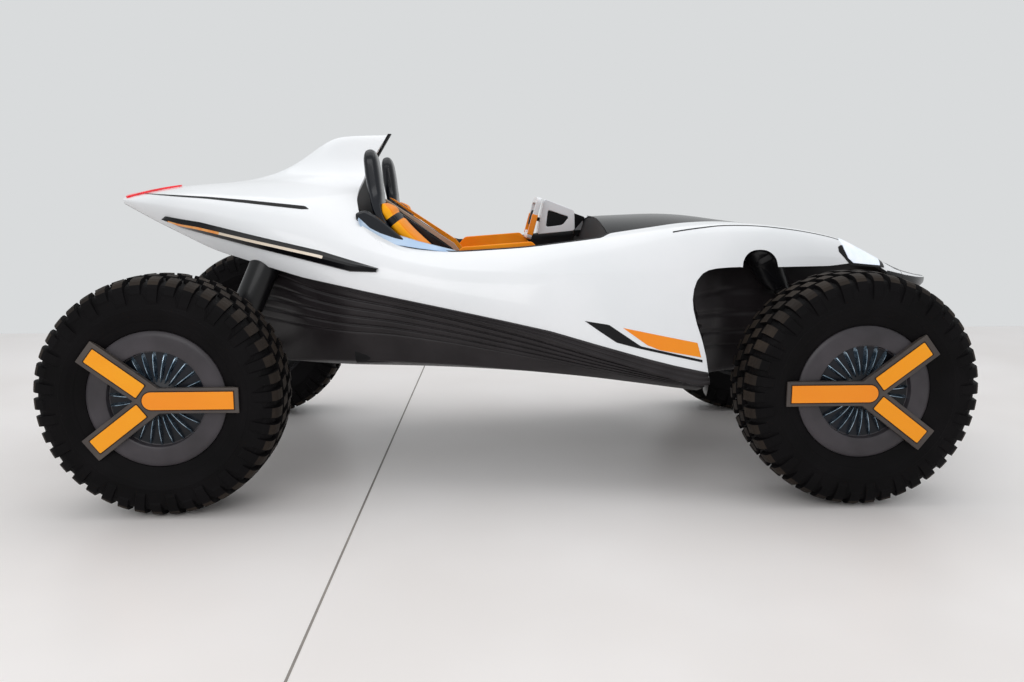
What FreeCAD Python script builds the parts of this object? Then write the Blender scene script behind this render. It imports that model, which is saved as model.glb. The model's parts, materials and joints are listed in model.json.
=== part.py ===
"""Two-seat electric dune buggy: open cockpit, fin-tailed body, four large lugged tyres.

The origin is on the ground, under the middle of the whole length, on the centre plane.
Pieces are drawn with the middle of the wheelbase at x = 0 and moved at the end.
+X points to the nose, +Y to the left side, +Z up. All lengths are millimetres.
"""

import FreeCAD, Part

import math
import os

from FreeCAD import Vector

# Overall sizes
WHEELBASE = 2685.0
TRACK = 1580.0
BODY_HALF = 760.0
BODY_HEIGHT = 1475.0
TYRE_D = 920.0
TYRE_W = 320.0
RIM_D = 524.0

# Clearances
FIT_GAP = 0.5
SEAT_GAP = 0.3
OVERRUN = 60.0

# Highest degree of the lofted surfaces
LOFT_DEGREE = 3

# Places worked out from them
HALF_BASE = WHEELBASE / 2
TYRE_R = TYRE_D / 2
RIM_R = RIM_D / 2
HUB_Y = TRACK / 2
NOSE_TIP_SHARE = 1.447
AHEAD = (NOSE_TIP_SHARE * HALF_BASE - HALF_BASE - TYRE_R) / 2
SIDES = (("right", -1), ("left", 1))
CORNERS = (
    ("front_right", 1, -1),
    ("front_left", 1, 1),
    ("rear_right", -1, -1),
    ("rear_left", -1, 1),
)

# Tyre
LUG_COUNT = 16
LUG_DEPTH = 18.0
LUG_FILL_SHARE = 0.62
BEAD_Y = 120.0
BEAD_LIP = 16.0
WALL_STEP = 4.0
SHOULDER_DROP = 9.0
FOOT_R_SHARE = 0.81
SHOULDER_Y_SHARE = 0.82
CROWN_Y_SHARE = 0.44

# Rim
RIM_WALL = 16.0
RIM_HALF = 118.0
RIM_FACE_Y = 96.0
WEB_T = 16.0
HUB_R = 66.0
HUB_FACE_Y = 20.0
SPINDLE_R = 22.0
SPINDLE_L = 40.0

# Wheel cover: ring, sunk fan of blades and three-armed cap
RING_T = 10.0
FAN_R = 176.0
FAN_SINK = 20.0
BLADE_COUNT = 24
BLADE_T = 5.0
BLADE_GAP = 4.0
FAN_HUB_R = 62.0
ARM_R = 310.0
ARM_W = 94.0
ARM_T = 14.0
ARM_LIFT = 8.0
ARM_SIDE_DEG = 142.5

# Uprights and steering
KINGPIN_INSET = 90.0
UPRIGHT_HALF_H = 104.0
UPRIGHT_W = 56.0
UPRIGHT_T = 44.0
PIN_R = 12.0
PIN_L = 30.0
FLANGE_R = 46.0
FLANGE_T = 16.0
NECK_W = 52.0
STEER_ARM_L = 120.0
STEER_ARM_T = 18.0

# Suspension arms
BAR_W = 30.0
BOSS_R = 27.0
BOSS_H = 30.0
BOSS_GAP = 20.0
FRONT_ROOT_SPREAD = 170.0
FRONT_ROOT_Y_SHARE = 0.329
FRONT_LOW_ROOT_Z_SHARE = 0.339
FRONT_HIGH_ROOT_Z_SHARE = 0.475
REAR_ROOT_X_SHARE = -0.790
REAR_ROOT_Y_SHARES = (0.395, 0.158)
REAR_LOW_ROOT_Z_SHARE = 0.393
REAR_HIGH_ROOT_Z_SHARE = 0.556

# Struts: ends as shares of the half wheelbase, body half width and height
STRUT_BELL_R = 72.0
STRUT_BODY_R = 40.0
STRUT_FOOT_R = 24.0
STRUT_BELL_L = 60.0
STRUT_TAPER_L = 120.0
FRONT_STRUT_TOP_SHARES = (0.8045, 0.632, 0.654)
FRONT_STRUT_FOOT_SHARES = (0.9335, 0.610, 0.442)
REAR_STRUT_R = 58.0
REAR_STRUT_FOOT_R = 30.0
REAR_STRUT_TOP_SHARES = (-0.760, 0.632, 0.644)
REAR_STRUT_FOOT_SHARES = (-0.9265, 0.737, 0.279)

# Cockpit: places as shares of the half wheelbase and the body height, and the
# thickness of the body beside each space
COCKPIT_REAR_SHARE = -0.4767
COCKPIT_FRONT_SHARE = 0.447
COWL_SHARE = 0.298
FOOTWELL_FRONT_SHARE = 0.715
COCKPIT_FLOOR_SHARE = 0.3526
COCKPIT_STEP_SHARE = 0.488
COCKPIT_TOP_SHARE = 0.8136
COWL_UNDER_SHARE = 0.7085
FOOTWELL_TOP_SHARE = 0.6305
SIDE_WALL = 220.0
LOW_SIDE_WALL = 298.0
FOOTWELL_WALL = 430.0
TUB_WALL = 14.0
COCKPIT_REAR_X = COCKPIT_REAR_SHARE * HALF_BASE
COCKPIT_FRONT_X = COCKPIT_FRONT_SHARE * HALF_BASE
COWL_X = COWL_SHARE * HALF_BASE
FOOTWELL_FRONT_X = FOOTWELL_FRONT_SHARE * HALF_BASE
COCKPIT_FLOOR_Z = COCKPIT_FLOOR_SHARE * BODY_HEIGHT
COCKPIT_STEP_Z = COCKPIT_STEP_SHARE * BODY_HEIGHT
COCKPIT_TOP_Z = COCKPIT_TOP_SHARE * BODY_HEIGHT
COWL_UNDER_Z = COWL_UNDER_SHARE * BODY_HEIGHT
FOOTWELL_TOP_Z = FOOTWELL_TOP_SHARE * BODY_HEIGHT
COCKPIT_HALF = BODY_HALF - SIDE_WALL
COCKPIT_LOW_HALF = BODY_HALF - LOW_SIDE_WALL
FOOTWELL_HALF = BODY_HALF - FOOTWELL_WALL

# Seats
SEAT_Y_SHARE = 0.4605
SEAT_Y = SEAT_Y_SHARE * BODY_HALF
SEAT_HALF = 176.0
SEAT_STEPS = 14
SEAT_SHELL_BACK = 34.0
SEAT_SHELL_DOWN = 50.0
CUSHION_BACK = 34.0
CUSHION_DOWN = 38.0
CUSHION_HALF = 140.0
HEADREST_HALF = 100.0
HEADREST_NECK_SHARE = 0.800
HEADREST_NECK_Z = HEADREST_NECK_SHARE * BODY_HEIGHT
HEADREST_POCKET = 12.0
PEDESTAL_HALF = 90.0
PEDESTAL_SHARES = (-0.119, 0.1415)

# Steering unit
YOKE_SHARES = (0.1058, 0.4605, 0.7471)
YOKE_HALF_H = 106.0
YOKE_HALF_W = 150.0
YOKE_GRIP = 30.0
YOKE_T = 24.0
YOKE_TILT_DEG = 15.0
YOKE_HUB_R = 40.0
SHAFT_R = 14.0
SHAFT_L = 54.0
SHROUD_HALF = 62.0
SHROUD_GAP = 10.0
DASH_SET = 30.0
DASH_LOW_SHARE = 0.597
DASH_RAKE = 110.0

# Pedals
PEDAL_W = 70.0
PEDAL_H = 110.0
PEDAL_T = 10.0
PEDAL_RISE = 120.0
PEDAL_SET = 80.0
PEDAL_IN = 120.0
PEDAL_PITCH = 100.0

# Side blades, flank slot, lamps, fin spine and jack pads
BLADE_OUT = 44.0
BLADE_ROOT_IN = 60.0
BLADE_THICK = 16.0
LAMP_DEPTH = 90.0
TAIL_LAMP_T = 8.0
TAIL_LAMP_H = 16.0
TAIL_LAMP_HALF = 240.0
SPINE_T = 14.0
SPINE_HALF = 16.0

SLOT_DEPTH = 16.0
SLOT_HALF_H = 8.0
PAD_R = 45.0
PAD_PROUD = 10.0
PAD_SHARES = ((-0.447, 0.340), (0.462, 0.395))

# Battery, the heavy mass inside the hull behind the cockpit
BATTERY_X_SHARES = (-0.775, -0.499)
BATTERY_HALF_SHARE = 0.342
BATTERY_Z_SHARES = (0.380, 0.5695)

# Ridges along the upper flank of the lower hull
RIDGE_COUNT = 4
RIDGE_BAND_SHARE = 0.56
RIDGE_GROOVE_SHARE = 0.34
RIDGE_SLOPE_SHARE = 0.08
RIDGE_STEP = 9.0

# Crown of a body section: height left at each share of the shoulder's width
CROWN_Y_SHARES = (0.06, 0.2, 0.5, 0.8)
CROWN_FIN_SHARES = (0.74, 0.2, 0.0, 0.0)
CROWN_DROP_SHARES = (0.0, 0.03, 0.22, 0.6)

# Guide lines of the body, each from tail to nose as (x share of the half
# wheelbase, share of the body half width or of the body height).
CROWN_TAIL_SHARES = (
    (-1.236, 0.831), (-1.147, 0.847), (-1.028, 0.857), (-0.894, 0.865), (-0.767, 0.872),
    (-0.655, 0.876), (-0.477, 0.879), (-0.358, 0.879),
)
FIN_SHARES = (
    (-1.236, 0.000), (-1.043, 0.000), (-0.953, 0.001), (-0.869, 0.006), (-0.783, 0.023),
    (-0.714, 0.052), (-0.644, 0.096), (-0.591, 0.125), (-0.521, 0.128), (-0.358, 0.130),
)
CROWN_FRONT_SHARES = (
    (-0.462, 0.712), (0.000, 0.723), (0.299, 0.757), (0.518, 0.765), (0.614, 0.761),
    (0.710, 0.747), (0.894, 0.724), (1.043, 0.693), (1.162, 0.652), (1.266, 0.614),
    (1.378, 0.584), (1.447, 0.573),
)
SHOULDER_Y_SHARES = (
    (-1.236, 0.366), (-1.028, 0.568), (-0.767, 0.664), (-0.477, 0.726), (-0.186, 0.766),
    (0.261, 0.789), (0.521, 0.779), (0.745, 0.732), (0.968, 0.662), (1.162, 0.563),
    (1.266, 0.482), (1.378, 0.358), (1.447, 0.197),
)
SHOULDER_Z_SHARES = (
    (-1.236, 0.816), (-1.028, 0.824), (-0.767, 0.805), (-0.596, 0.780), (-0.462, 0.732),
    (-0.335, 0.685), (-0.188, 0.668), (0.053, 0.679), (0.264, 0.700), (0.510, 0.738),
    (0.670, 0.748), (0.779, 0.742), (0.908, 0.726), (1.038, 0.703), (1.155, 0.652),
    (1.266, 0.603), (1.378, 0.578), (1.447, 0.569),
)
WIDE_Y_SHARES = (
    (-1.236, 0.374), (-1.028, 0.579), (-0.767, 0.743), (-0.477, 0.842), (-0.186, 0.875),
    (0.261, 0.897), (0.447, 0.900), (0.596, 0.879), (0.745, 0.808), (0.968, 0.721),
    (1.162, 0.608), (1.266, 0.521), (1.378, 0.379), (1.447, 0.204),
)
WIDE_Z_SHARES = (
    (-1.236, 0.807), (-1.028, 0.765), (-0.767, 0.709), (-0.477, 0.651), (-0.186, 0.593),
    (0.149, 0.559), (0.447, 0.541), (0.596, 0.546), (0.745, 0.573), (0.894, 0.597),
    (1.043, 0.602), (1.162, 0.591), (1.266, 0.578), (1.378, 0.565), (1.447, 0.563),
)
LOW_Y_SHARES = (
    (-1.236, 0.353), (-1.028, 0.489), (-0.767, 0.695), (-0.477, 0.858), (-0.186, 0.889),
    (0.149, 0.926), (0.447, 0.982), (0.574, 1.003), (0.745, 0.842), (0.894, 0.757),
    (1.162, 0.618), (1.266, 0.520), (1.378, 0.368), (1.447, 0.197),
)
LOW_Z_SHARES = (
    (-1.236, 0.797), (-1.121, 0.746), (-0.930, 0.671), (-0.767, 0.632), (-0.638, 0.600),
    (-0.401, 0.544), (-0.220, 0.505), (0.050, 0.448), (0.232, 0.391), (0.416, 0.340),
    (0.571, 0.302), (0.670, 0.339), (0.819, 0.420), (1.043, 0.475), (1.162, 0.522),
    (1.266, 0.539), (1.378, 0.537), (1.447, 0.551),
)
UNDER_Z_SHARES = (
    (-1.236, 0.793), (-1.028, 0.690), (-0.767, 0.614), (-0.477, 0.542), (-0.186, 0.475),
    (0.037, 0.420), (0.261, 0.359), (0.447, 0.312), (0.596, 0.298), (0.745, 0.366),
    (1.043, 0.447), (1.162, 0.495), (1.266, 0.522), (1.378, 0.532), (1.447, 0.545),
)
TAIL_STATION_SHARES = (
    -1.236, -1.150, -1.060, -0.970, -0.880, -0.790, -0.700, -0.610, -0.520, -0.430, -0.358,
)
FRONT_STATION_SHARES = (
    -0.462, -0.320, -0.160, 0.000, 0.160, 0.320, 0.470, 0.600, 0.740, 0.880, 1.020, 1.150,
    1.260, 1.360, NOSE_TIP_SHARE,
)

# Sections of the lower hull, as shares: x of the half wheelbase; top edge,
# waist and floor edge as (y of the body half width, z of the body height);
# centre of the floor.
HULL_SECTION_SHARES = (
    (-0.819, 0.520, 0.641, 0.470, 0.488, 0.395, 0.342, 0.325),
    (-0.730, 0.600, 0.637, 0.560, 0.478, 0.480, 0.342, 0.313),
    (-0.641, 0.740, 0.603, 0.700, 0.471, 0.590, 0.353, 0.305),
    (-0.521, 0.829, 0.575, 0.774, 0.458, 0.658, 0.357, 0.298),
    (-0.372, 0.863, 0.546, 0.800, 0.450, 0.695, 0.357, 0.296),
    (-0.186, 0.879, 0.507, 0.816, 0.424, 0.711, 0.348, 0.292),
    (0.037, 0.900, 0.453, 0.834, 0.385, 0.718, 0.329, 0.285),
    (0.261, 0.932, 0.388, 0.858, 0.343, 0.737, 0.308, 0.273),
    (0.447, 0.971, 0.340, 0.908, 0.313, 0.763, 0.287, 0.262),
    (0.574, 0.987, 0.313, 0.928, 0.296, 0.789, 0.273, 0.255),
)

# Sections of the narrow keel between the front wheels, in the same order.
KEEL_SECTION_SHARES = (
    (0.551, 0.780, 0.600, 0.740, 0.407, 0.680, 0.285, 0.265),
    (0.603, 0.700, 0.610, 0.650, 0.400, 0.560, 0.288, 0.265),
    (0.663, 0.580, 0.620, 0.540, 0.393, 0.450, 0.291, 0.268),
    (0.730, 0.530, 0.625, 0.500, 0.390, 0.420, 0.295, 0.272),
    (0.857, 0.510, 0.625, 0.485, 0.393, 0.400, 0.302, 0.279),
    (1.006, 0.495, 0.622, 0.470, 0.400, 0.382, 0.312, 0.289),
    (1.117, 0.475, 0.620, 0.445, 0.420, 0.355, 0.349, 0.326),
    (1.207, 0.425, 0.610, 0.390, 0.468, 0.305, 0.417, 0.397),
    (1.296, 0.345, 0.590, 0.315, 0.502, 0.245, 0.471, 0.455),
    (1.385, 0.220, 0.572, 0.205, 0.530, 0.160, 0.512, 0.499),
)
ARCH_INNER_SHARE = 0.421

# Side outlines, as shares: x of the half wheelbase, z of the body height.
TAIL_FRONT_SHARES = (
    (-0.408, 1.012), (-0.478, 0.906), (-0.484, 0.815), (-0.450, 0.725), (-0.388, 0.690),
    (-0.388, 0.200),
)
ARCH_SHARES = (
    (0.585, 0.200), (0.585, 0.322), (0.576, 0.386), (0.565, 0.428), (0.541, 0.512),
    (0.545, 0.567), (0.573, 0.610), (0.617, 0.632), (0.693, 0.640), (1.210, 0.640),
    (1.235, 0.590), (1.300, 0.500), (1.300, 0.200),
)
LAMP_SHARES = (
    (1.051, 0.710), (1.051, 0.693), (1.060, 0.649), (1.084, 0.628), (1.185, 0.612),
    (1.203, 0.631), (1.180, 0.710),
)
SEAT_FRONT_SHARES = (
    (-0.417, 0.955), (-0.408, 0.939), (-0.402, 0.847), (-0.387, 0.786), (-0.328, 0.719),
    (-0.223, 0.631), (-0.134, 0.556), (-0.067, 0.505), (0.000, 0.478), (0.089, 0.475), (0.171, 0.492),
)
SHROUD_SHARES = (
    (0.146, 0.810), (0.285, 0.748), (0.2975, 0.720), (0.2975, 0.712), (0.115, 0.690),
)
SHROUD_WINDOW_SHARES = ((0.158, 0.779), (0.250, 0.738), (0.226, 0.720), (0.150, 0.718))

# Hood opening from above, as shares: x of the half wheelbase, y of the half width.
HOOD_SHARES = (
    (0.285, 0.660), (0.450, 0.640), (0.700, 0.560), (0.950, 0.430), (1.150, 0.300), (1.290, 0.180),
)
NOSE_SPLIT_SHARE = 1.290

# Side blade from rear to front: x of the half wheelbase, y of the half width, z of the height.
BLADE_SHARES = ((-1.074, 0.570, 0.762), (-0.740, 0.735, 0.706), (-0.403, 0.852, 0.628))

# Slot above the blade, in the same way; it closes to a point in front.
SLOT_SHARES = ((-1.140, 0.455, 0.829), (-0.880, 0.640, 0.808), (-0.621, 0.705, 0.786))


def at_share(x_share, y_share, z_share):
    """Point from shares of the half wheelbase, body half width and height."""
    return Vector(x_share * HALF_BASE, y_share * BODY_HALF, z_share * BODY_HEIGHT)


def along(guide, x):
    """Value of a guide line at x, by smooth slopes that never overshoot."""
    xs = [p[0] for p in guide]
    ys = [p[1] for p in guide]
    if x <= xs[0]:
        return ys[0]
    if x >= xs[-1]:
        return ys[-1]
    steps = [(ys[i + 1] - ys[i]) / (xs[i + 1] - xs[i]) for i in range(len(xs) - 1)]
    slopes = [steps[0]]
    for before, after in zip(steps, steps[1:]):
        level = before * after <= 0
        slopes.append(0.0 if level else 2 * before * after / (before + after))
    slopes.append(steps[-1])
    i = max(k for k in range(len(steps)) if xs[k] <= x)
    width = xs[i + 1] - xs[i]
    t = (x - xs[i]) / width
    start = (1 + 2 * t) * (1 - t) ** 2 * ys[i] + t * (1 - t) ** 2 * width * slopes[i]
    end = t * t * (3 - 2 * t) * ys[i + 1] + t * t * (t - 1) * width * slopes[i + 1]
    return start + end


def mirrored(shape):
    """The same shape on the other side of the centre plane."""
    return shape.mirror(Vector(0, 0, 0), Vector(0, 1, 0))


def both_sides(shape):
    """A left-hand piece and its mirror image, as solids that don't touch."""
    return Part.Compound([shape, mirrored(shape)])


def spline(points, parameters=None):
    """Edge that passes smoothly through the points, at set parameters if given."""
    curve = Part.BSplineCurve()
    if parameters is None:
        curve.interpolate(points)
    else:
        curve.interpolate(Points=points, Parameters=parameters)
    return curve.toShape()


def polygon_face(points):
    """Flat face bounded by straight runs through the points."""
    return Part.Face(Part.makePolygon(points + points[:1]))


def side_prism(points, y0, y1):
    """Outline in the XZ plane, carried across the body from y0 to y1."""
    face = polygon_face([Vector(p.x, y0, p.z) for p in points])
    return face.extrude(Vector(0, y1 - y0, 0))


def block(x0, x1, y0, y1, z0, z1):
    """Box between two corners."""
    return Part.makeBox(x1 - x0, y1 - y0, z1 - z0, Vector(x0, y0, z0))


def rod(start, end, radius, end_radius=None):
    """Round bar, or cone, between two points."""
    line = end.sub(start)
    if end_radius is None:
        return Part.makeCylinder(radius, line.Length, start, line)
    return Part.makeCone(radius, end_radius, line.Length, start, line)


def turned(profile):
    """Ring turned about the Y axis from (radius, y) points."""
    points = [Vector(r, y, 0) for r, y in profile]
    return polygon_face(points).revolve(Vector(0, 0, 0), Vector(0, 1, 0), 360)


def fused(shapes):
    """One solid from pieces that meet, with shared faces cleaned away."""
    return shapes[0].multiFuse(shapes[1:]).removeSplitter()


def largest(shape):
    """Largest solid of a shape."""
    return max(shape.Solids, key=lambda solid: solid.Volume)


def crown_spots():
    """Positions across the crown from the right shoulder to the left, from 0 to 1."""
    half = [0.0] + [share / 2 for share in CROWN_Y_SHARES] + [1 / 2]
    return [1 / 2 - spot for spot in reversed(half[1:])] + [1 / 2 + spot for spot in half]


def upper_wire(x, crown, fin):
    """Closed section of the upper body: crown with fin, flanks, underside."""
    y1 = along(SHOULDER_Y_SHARES, x)
    z1 = along(SHOULDER_Z_SHARES, x)
    drop = crown - z1
    half = [at_share(x, 0.0, crown + fin)]
    for y, fin_left, dropped in zip(CROWN_Y_SHARES, CROWN_FIN_SHARES, CROWN_DROP_SHARES):
        half.append(at_share(x, y * y1, crown + fin_left * fin - dropped * drop))
    half.append(at_share(x, y1, z1))
    low = at_share(x, along(LOW_Y_SHARES, x), along(LOW_Z_SHARES, x))
    wide = at_share(x, along(WIDE_Y_SHARES, x), along(WIDE_Z_SHARES, x))
    flank = [half[-1], wide, low]
    under = [low, at_share(x, 0.0, along(UNDER_Z_SHARES, x)), Vector(low.x, -low.y, low.z)]
    other = [Vector(p.x, -p.y, p.z) for p in half]
    far = [Vector(p.x, -p.y, p.z) for p in reversed(flank)]
    top = spline(other[:0:-1] + half, crown_spots())
    thirds = [0, 1 / 2, 1]
    return Part.Wire([top, spline(flank, thirds), spline(under, thirds), spline(far, thirds)])


def hull_flank(row, ridge_count):
    """Left flank of a hull section: straight-sided ridges, then the smooth lower part."""
    x, y1, z1, y2, z2, y3, z3, low = row
    top, waist, foot = at_share(x, y1, z1), at_share(x, y2, z2), at_share(x, y3, z3)
    pull = waist * 2 - (top + foot) * (1 / 2)

    def on_flank(q, sunk=0.0):
        spot = top * (1 - q) ** 2 + pull * (2 * q * (1 - q)) + foot * q ** 2
        return Vector(spot.x, spot.y - sunk, spot.z)

    band = RIDGE_BAND_SHARE if ridge_count else 0.0
    points = [on_flank(0.0)]
    for k in range(ridge_count):
        pitch = band / ridge_count
        start = k * pitch + pitch * (1 - RIDGE_GROOVE_SHARE)
        slope = pitch * RIDGE_SLOPE_SHARE
        end = (k + 1) * pitch
        points += [
            on_flank(start),
            on_flank(start + slope, RIDGE_STEP),
            on_flank(end - slope, RIDGE_STEP),
            on_flank(end),
        ]
    lower = [points[-1], on_flank((1 + band) / 2), foot]
    return points, lower


def hull_wire(row, ridge_count=0):
    """Closed section of the lower hull: flat top, flanks, shallow floor."""
    points, lower = hull_flank(row, ridge_count)
    floor = at_share(row[0], 0.0, row[-1])
    far_points = [Vector(p.x, -p.y, p.z) for p in reversed(points)]
    far_lower = [Vector(p.x, -p.y, p.z) for p in reversed(lower)]
    thirds = [0, 1 / 2, 1]
    edges = [Part.LineSegment(far_points[-1], points[0]).toShape()]
    edges += [Part.LineSegment(a, b).toShape() for a, b in zip(points, points[1:])]
    edges.append(spline(lower, thirds))
    edges.append(spline([lower[-1], floor, far_lower[0]], thirds))
    edges.append(spline(far_lower, thirds))
    edges += [Part.LineSegment(a, b).toShape() for a, b in zip(far_points, far_points[1:])]
    return Part.Wire(edges)


def tail_blank():
    """Upper body behind the cockpit, with the fin, before it is trimmed."""
    wires = [
        upper_wire(x, along(CROWN_TAIL_SHARES, x), along(FIN_SHARES, x))
        for x in TAIL_STATION_SHARES
    ]
    return Part.makeLoft(wires, True, False, False, LOFT_DEGREE)


def front_blank():
    """Upper body from the cockpit's rear to the nose, before it is split."""
    wires = [upper_wire(x, along(CROWN_FRONT_SHARES, x), 0.0) for x in FRONT_STATION_SHARES]
    return Part.makeLoft(wires, True, False, False, LOFT_DEGREE)


def cockpit_space(inset):
    """Cockpit and footwell, drawn in from the tub's outer faces by an inset."""
    floor = COCKPIT_FLOOR_Z - TUB_WALL + inset
    step = COCKPIT_STEP_Z - TUB_WALL + inset
    half = COCKPIT_HALF - inset
    low_half = COCKPIT_LOW_HALF - inset
    rear = COCKPIT_REAR_X + inset
    front = COCKPIT_FRONT_X - inset
    cabin = block(rear, COWL_X, -half, half, step, COCKPIT_TOP_Z)
    under_cowl = block(COWL_X - OVERRUN, front, -half, half, step, COWL_UNDER_Z - inset)
    low_cabin = block(rear, front, -low_half, low_half, floor, step + TUB_WALL)
    well_half = FOOTWELL_HALF - inset
    well = block(
        COWL_X,
        FOOTWELL_FRONT_X - inset,
        -well_half,
        well_half,
        floor,
        FOOTWELL_TOP_Z - inset,
    )
    return fused([cabin, under_cowl, low_cabin, well])


def tail_side():
    """Everything behind the tail's front edge, as a prism across the body."""
    edge = [at_share(x, 0, z) for x, z in TAIL_FRONT_SHARES]
    rear_x = -HALF_BASE - TYRE_R
    high_z = edge[0].z + OVERRUN
    corners = [Vector(rear_x, 0, edge[-1].z), Vector(rear_x, 0, high_z), Vector(edge[0].x, 0, high_z)]
    return side_prism(corners + edge, -BODY_HALF - OVERRUN, BODY_HALF + OVERRUN)


def arch_space():
    """Room for both steered front wheels, outside the keel."""
    points = [at_share(x, 0, z) for x, z in ARCH_SHARES]
    return both_sides(side_prism(points, ARCH_INNER_SHARE * BODY_HALF, BODY_HALF + OVERRUN))


def hood_space():
    """Column over the hood opening."""
    half = [at_share(x, y, 0) for x, y in HOOD_SHARES]
    outline = half + [Vector(p.x, -p.y, 0) for p in reversed(half)]
    return polygon_face(outline).extrude(Vector(0, 0, BODY_HEIGHT))


def lamp_space(side):
    """Wedge at the fender's front corner that holds the headlamp."""
    points = [at_share(x, 0, z) for x, z in LAMP_SHARES]
    inner = at_share(0, along(SHOULDER_Y_SHARES, LAMP_SHARES[0][0]), 0).y - LAMP_DEPTH
    prism = side_prism(points, inner, BODY_HALF)
    return prism if side > 0 else mirrored(prism)


def headrest_pockets():
    """Pockets in the tail's front edge, behind the headrests."""
    inner = SEAT_Y - HEADREST_HALF - HEADREST_POCKET
    outer = SEAT_Y + HEADREST_HALF + HEADREST_POCKET
    rear = COCKPIT_REAR_X - HEADREST_POCKET
    return both_sides(block(rear, COWL_X, inner, outer, COCKPIT_FLOOR_Z, BODY_HEIGHT))


def make_battery():
    """Battery as one plain block."""
    x0, x1 = [share * HALF_BASE for share in BATTERY_X_SHARES]
    z0, z1 = [share * BODY_HEIGHT for share in BATTERY_Z_SHARES]
    half = BATTERY_HALF_SHARE * BODY_HALF
    return block(x0, x1, -half, half, z0, z1)


def one_side(side):
    """Half space to the left (1) or right (-1) of the centre plane, as a large block."""
    reach = 2 * (HALF_BASE + TYRE_R)
    half = block(-reach, reach, 0.0, reach, -reach, reach)
    return half if side > 0 else mirrored(half)


def jack_pads():
    """Round jacking pads, level underneath, that stand proud of the hull's floor."""
    pads = []
    for x, y in PAD_SHARES:
        rows = [(row[0], row[6], row[7], row[5]) for row in HULL_SECTION_SHARES]
        edge_z, low_z, edge_y = [
            along([(row[0], row[k]) for row in rows], x) for k in range(1, len(rows[0]))
        ]
        inner = y - PAD_R / BODY_HALF
        floor = (low_z + (edge_z - low_z) * (inner / edge_y) ** 2) * BODY_HEIGHT
        foot = Vector(x * HALF_BASE, y * BODY_HALF, floor - PAD_PROUD)
        pads.append(rod(foot, foot.add(Vector(0, 0, OVERRUN)), PAD_R))
    return both_sides(Part.Compound(pads))


def make_shell():
    """Panels, lower hull and tub, split where the real ones meet."""
    parts = {}
    space = cockpit_space(0.0)
    battery = make_battery()
    rear = tail_side()
    keel_wires = [hull_wire(row) for row in KEEL_SECTION_SHARES]
    hull_wires = [hull_wire(row, RIDGE_COUNT) for row in HULL_SECTION_SHARES]
    keel = Part.makeLoft(keel_wires, True, True)
    hull = Part.makeLoft(hull_wires, True, True)
    tail_full = tail_blank()
    front_full = front_blank()
    tail = tail_full.common(rear).cut(space).cut(headrest_pockets()).cut(battery)
    parts["tail_deck"] = largest(tail.cut(both_sides(flank_strip(SLOT_SHARES, SLOT_DEPTH))))
    front = front_full.cut(rear).cut(space).cut(keel).cut(arch_space())
    nose_x = NOSE_SPLIT_SHARE * HALF_BASE
    ahead = block(nose_x, nose_x + HALF_BASE, -BODY_HALF, BODY_HALF, 0, BODY_HEIGHT)
    parts["nose_blade"] = largest(front.common(ahead))
    front = front.cut(ahead)
    hood = hood_space()
    parts["hood"] = largest(front.common(hood))
    panels = front.cut(hood)
    for name, side in SIDES:
        panel = largest(panels.common(one_side(side)))
        lamp = lamp_space(side)
        parts["headlamp_" + name] = largest(panel.common(lamp))
        parts["side_panel_" + name] = largest(panel.cut(lamp))
    lower = hull.fuse(jack_pads()).cut(front_full).cut(tail_full).fuse(keel)
    parts["lower_hull"] = largest(lower.cut(space).cut(battery))
    blank = hull.fuse(keel).fuse(front_full)
    tub = blank.common(space).cut(cockpit_space(TUB_WALL))
    parts["cockpit_tub"] = largest(tub)
    parts["battery"] = battery
    return parts, tail_full, front_full


def make_spine():
    """Dark strip up the fin's front edge."""
    low = at_share(TAIL_FRONT_SHARES[1][0], 0, TAIL_FRONT_SHARES[1][1])
    high = at_share(TAIL_FRONT_SHARES[0][0], 0, TAIL_FRONT_SHARES[0][1])
    ahead = Vector(SPINE_T, 0, 0)
    points = [low, low.add(ahead), high.add(ahead), high]
    return side_prism(points, -SPINE_HALF, SPINE_HALF)


def flank_strip(shares, depth):
    """Wedge along the left flank that closes to a point at its front end."""
    wires = []
    for k, (x, y, z) in enumerate(shares):
        root = at_share(x, y, z)
        half = SLOT_HALF_H * (1 - k / len(shares))
        corners = [(-depth, -half), (OVERRUN, -half), (OVERRUN, half), (-depth, half)]
        places = [Vector(root.x, root.y + a, root.z + b) for a, b in corners]
        wires.append(Part.makePolygon(places + places[:1]))
    return Part.makeLoft(wires, True, True)


def make_side_blade(tail_full, front_full):
    """Thin blade along the left flank, rising to the rear."""
    wires = []
    for x, y, z in BLADE_SHARES:
        root = at_share(x, y, z)
        inner = root.y - BLADE_ROOT_IN
        outer = root.y + BLADE_OUT
        low = root.z - BLADE_THICK / 2
        high = root.z + BLADE_THICK / 2
        corners = [(inner, low), (outer, low), (outer, high), (inner, high)]
        wires.append(Part.makePolygon([Vector(root.x, a, b) for a, b in corners + corners[:1]]))
    blade = Part.makeLoft(wires, True, True)
    return largest(blade.cut(tail_full).cut(front_full))


def make_tail_lamp():
    """Red bar across the end of the tail."""
    rear = TAIL_STATION_SHARES[0] * HALF_BASE
    middle = along(WIDE_Z_SHARES, TAIL_STATION_SHARES[0]) * BODY_HEIGHT
    low = middle - TAIL_LAMP_H / 2
    return block(rear - TAIL_LAMP_T, rear, -TAIL_LAMP_HALF, TAIL_LAMP_HALF, low, low + TAIL_LAMP_H)


def shifted(points, back, down):
    """Points moved back and down together."""
    return [Vector(p.x - back, p.y, p.z - down) for p in points]


def seat_slab(front, back_shift, down_shift, y0, y1):
    """Slab between the seat's curve and the same curve moved back and down."""
    near = spline([Vector(p.x, y0, p.z) for p in front]).discretize(SEAT_STEPS)
    far = shifted(near, back_shift, down_shift)
    face = polygon_face(near + far[::-1])
    return face.extrude(Vector(0, y1 - y0, 0))


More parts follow.
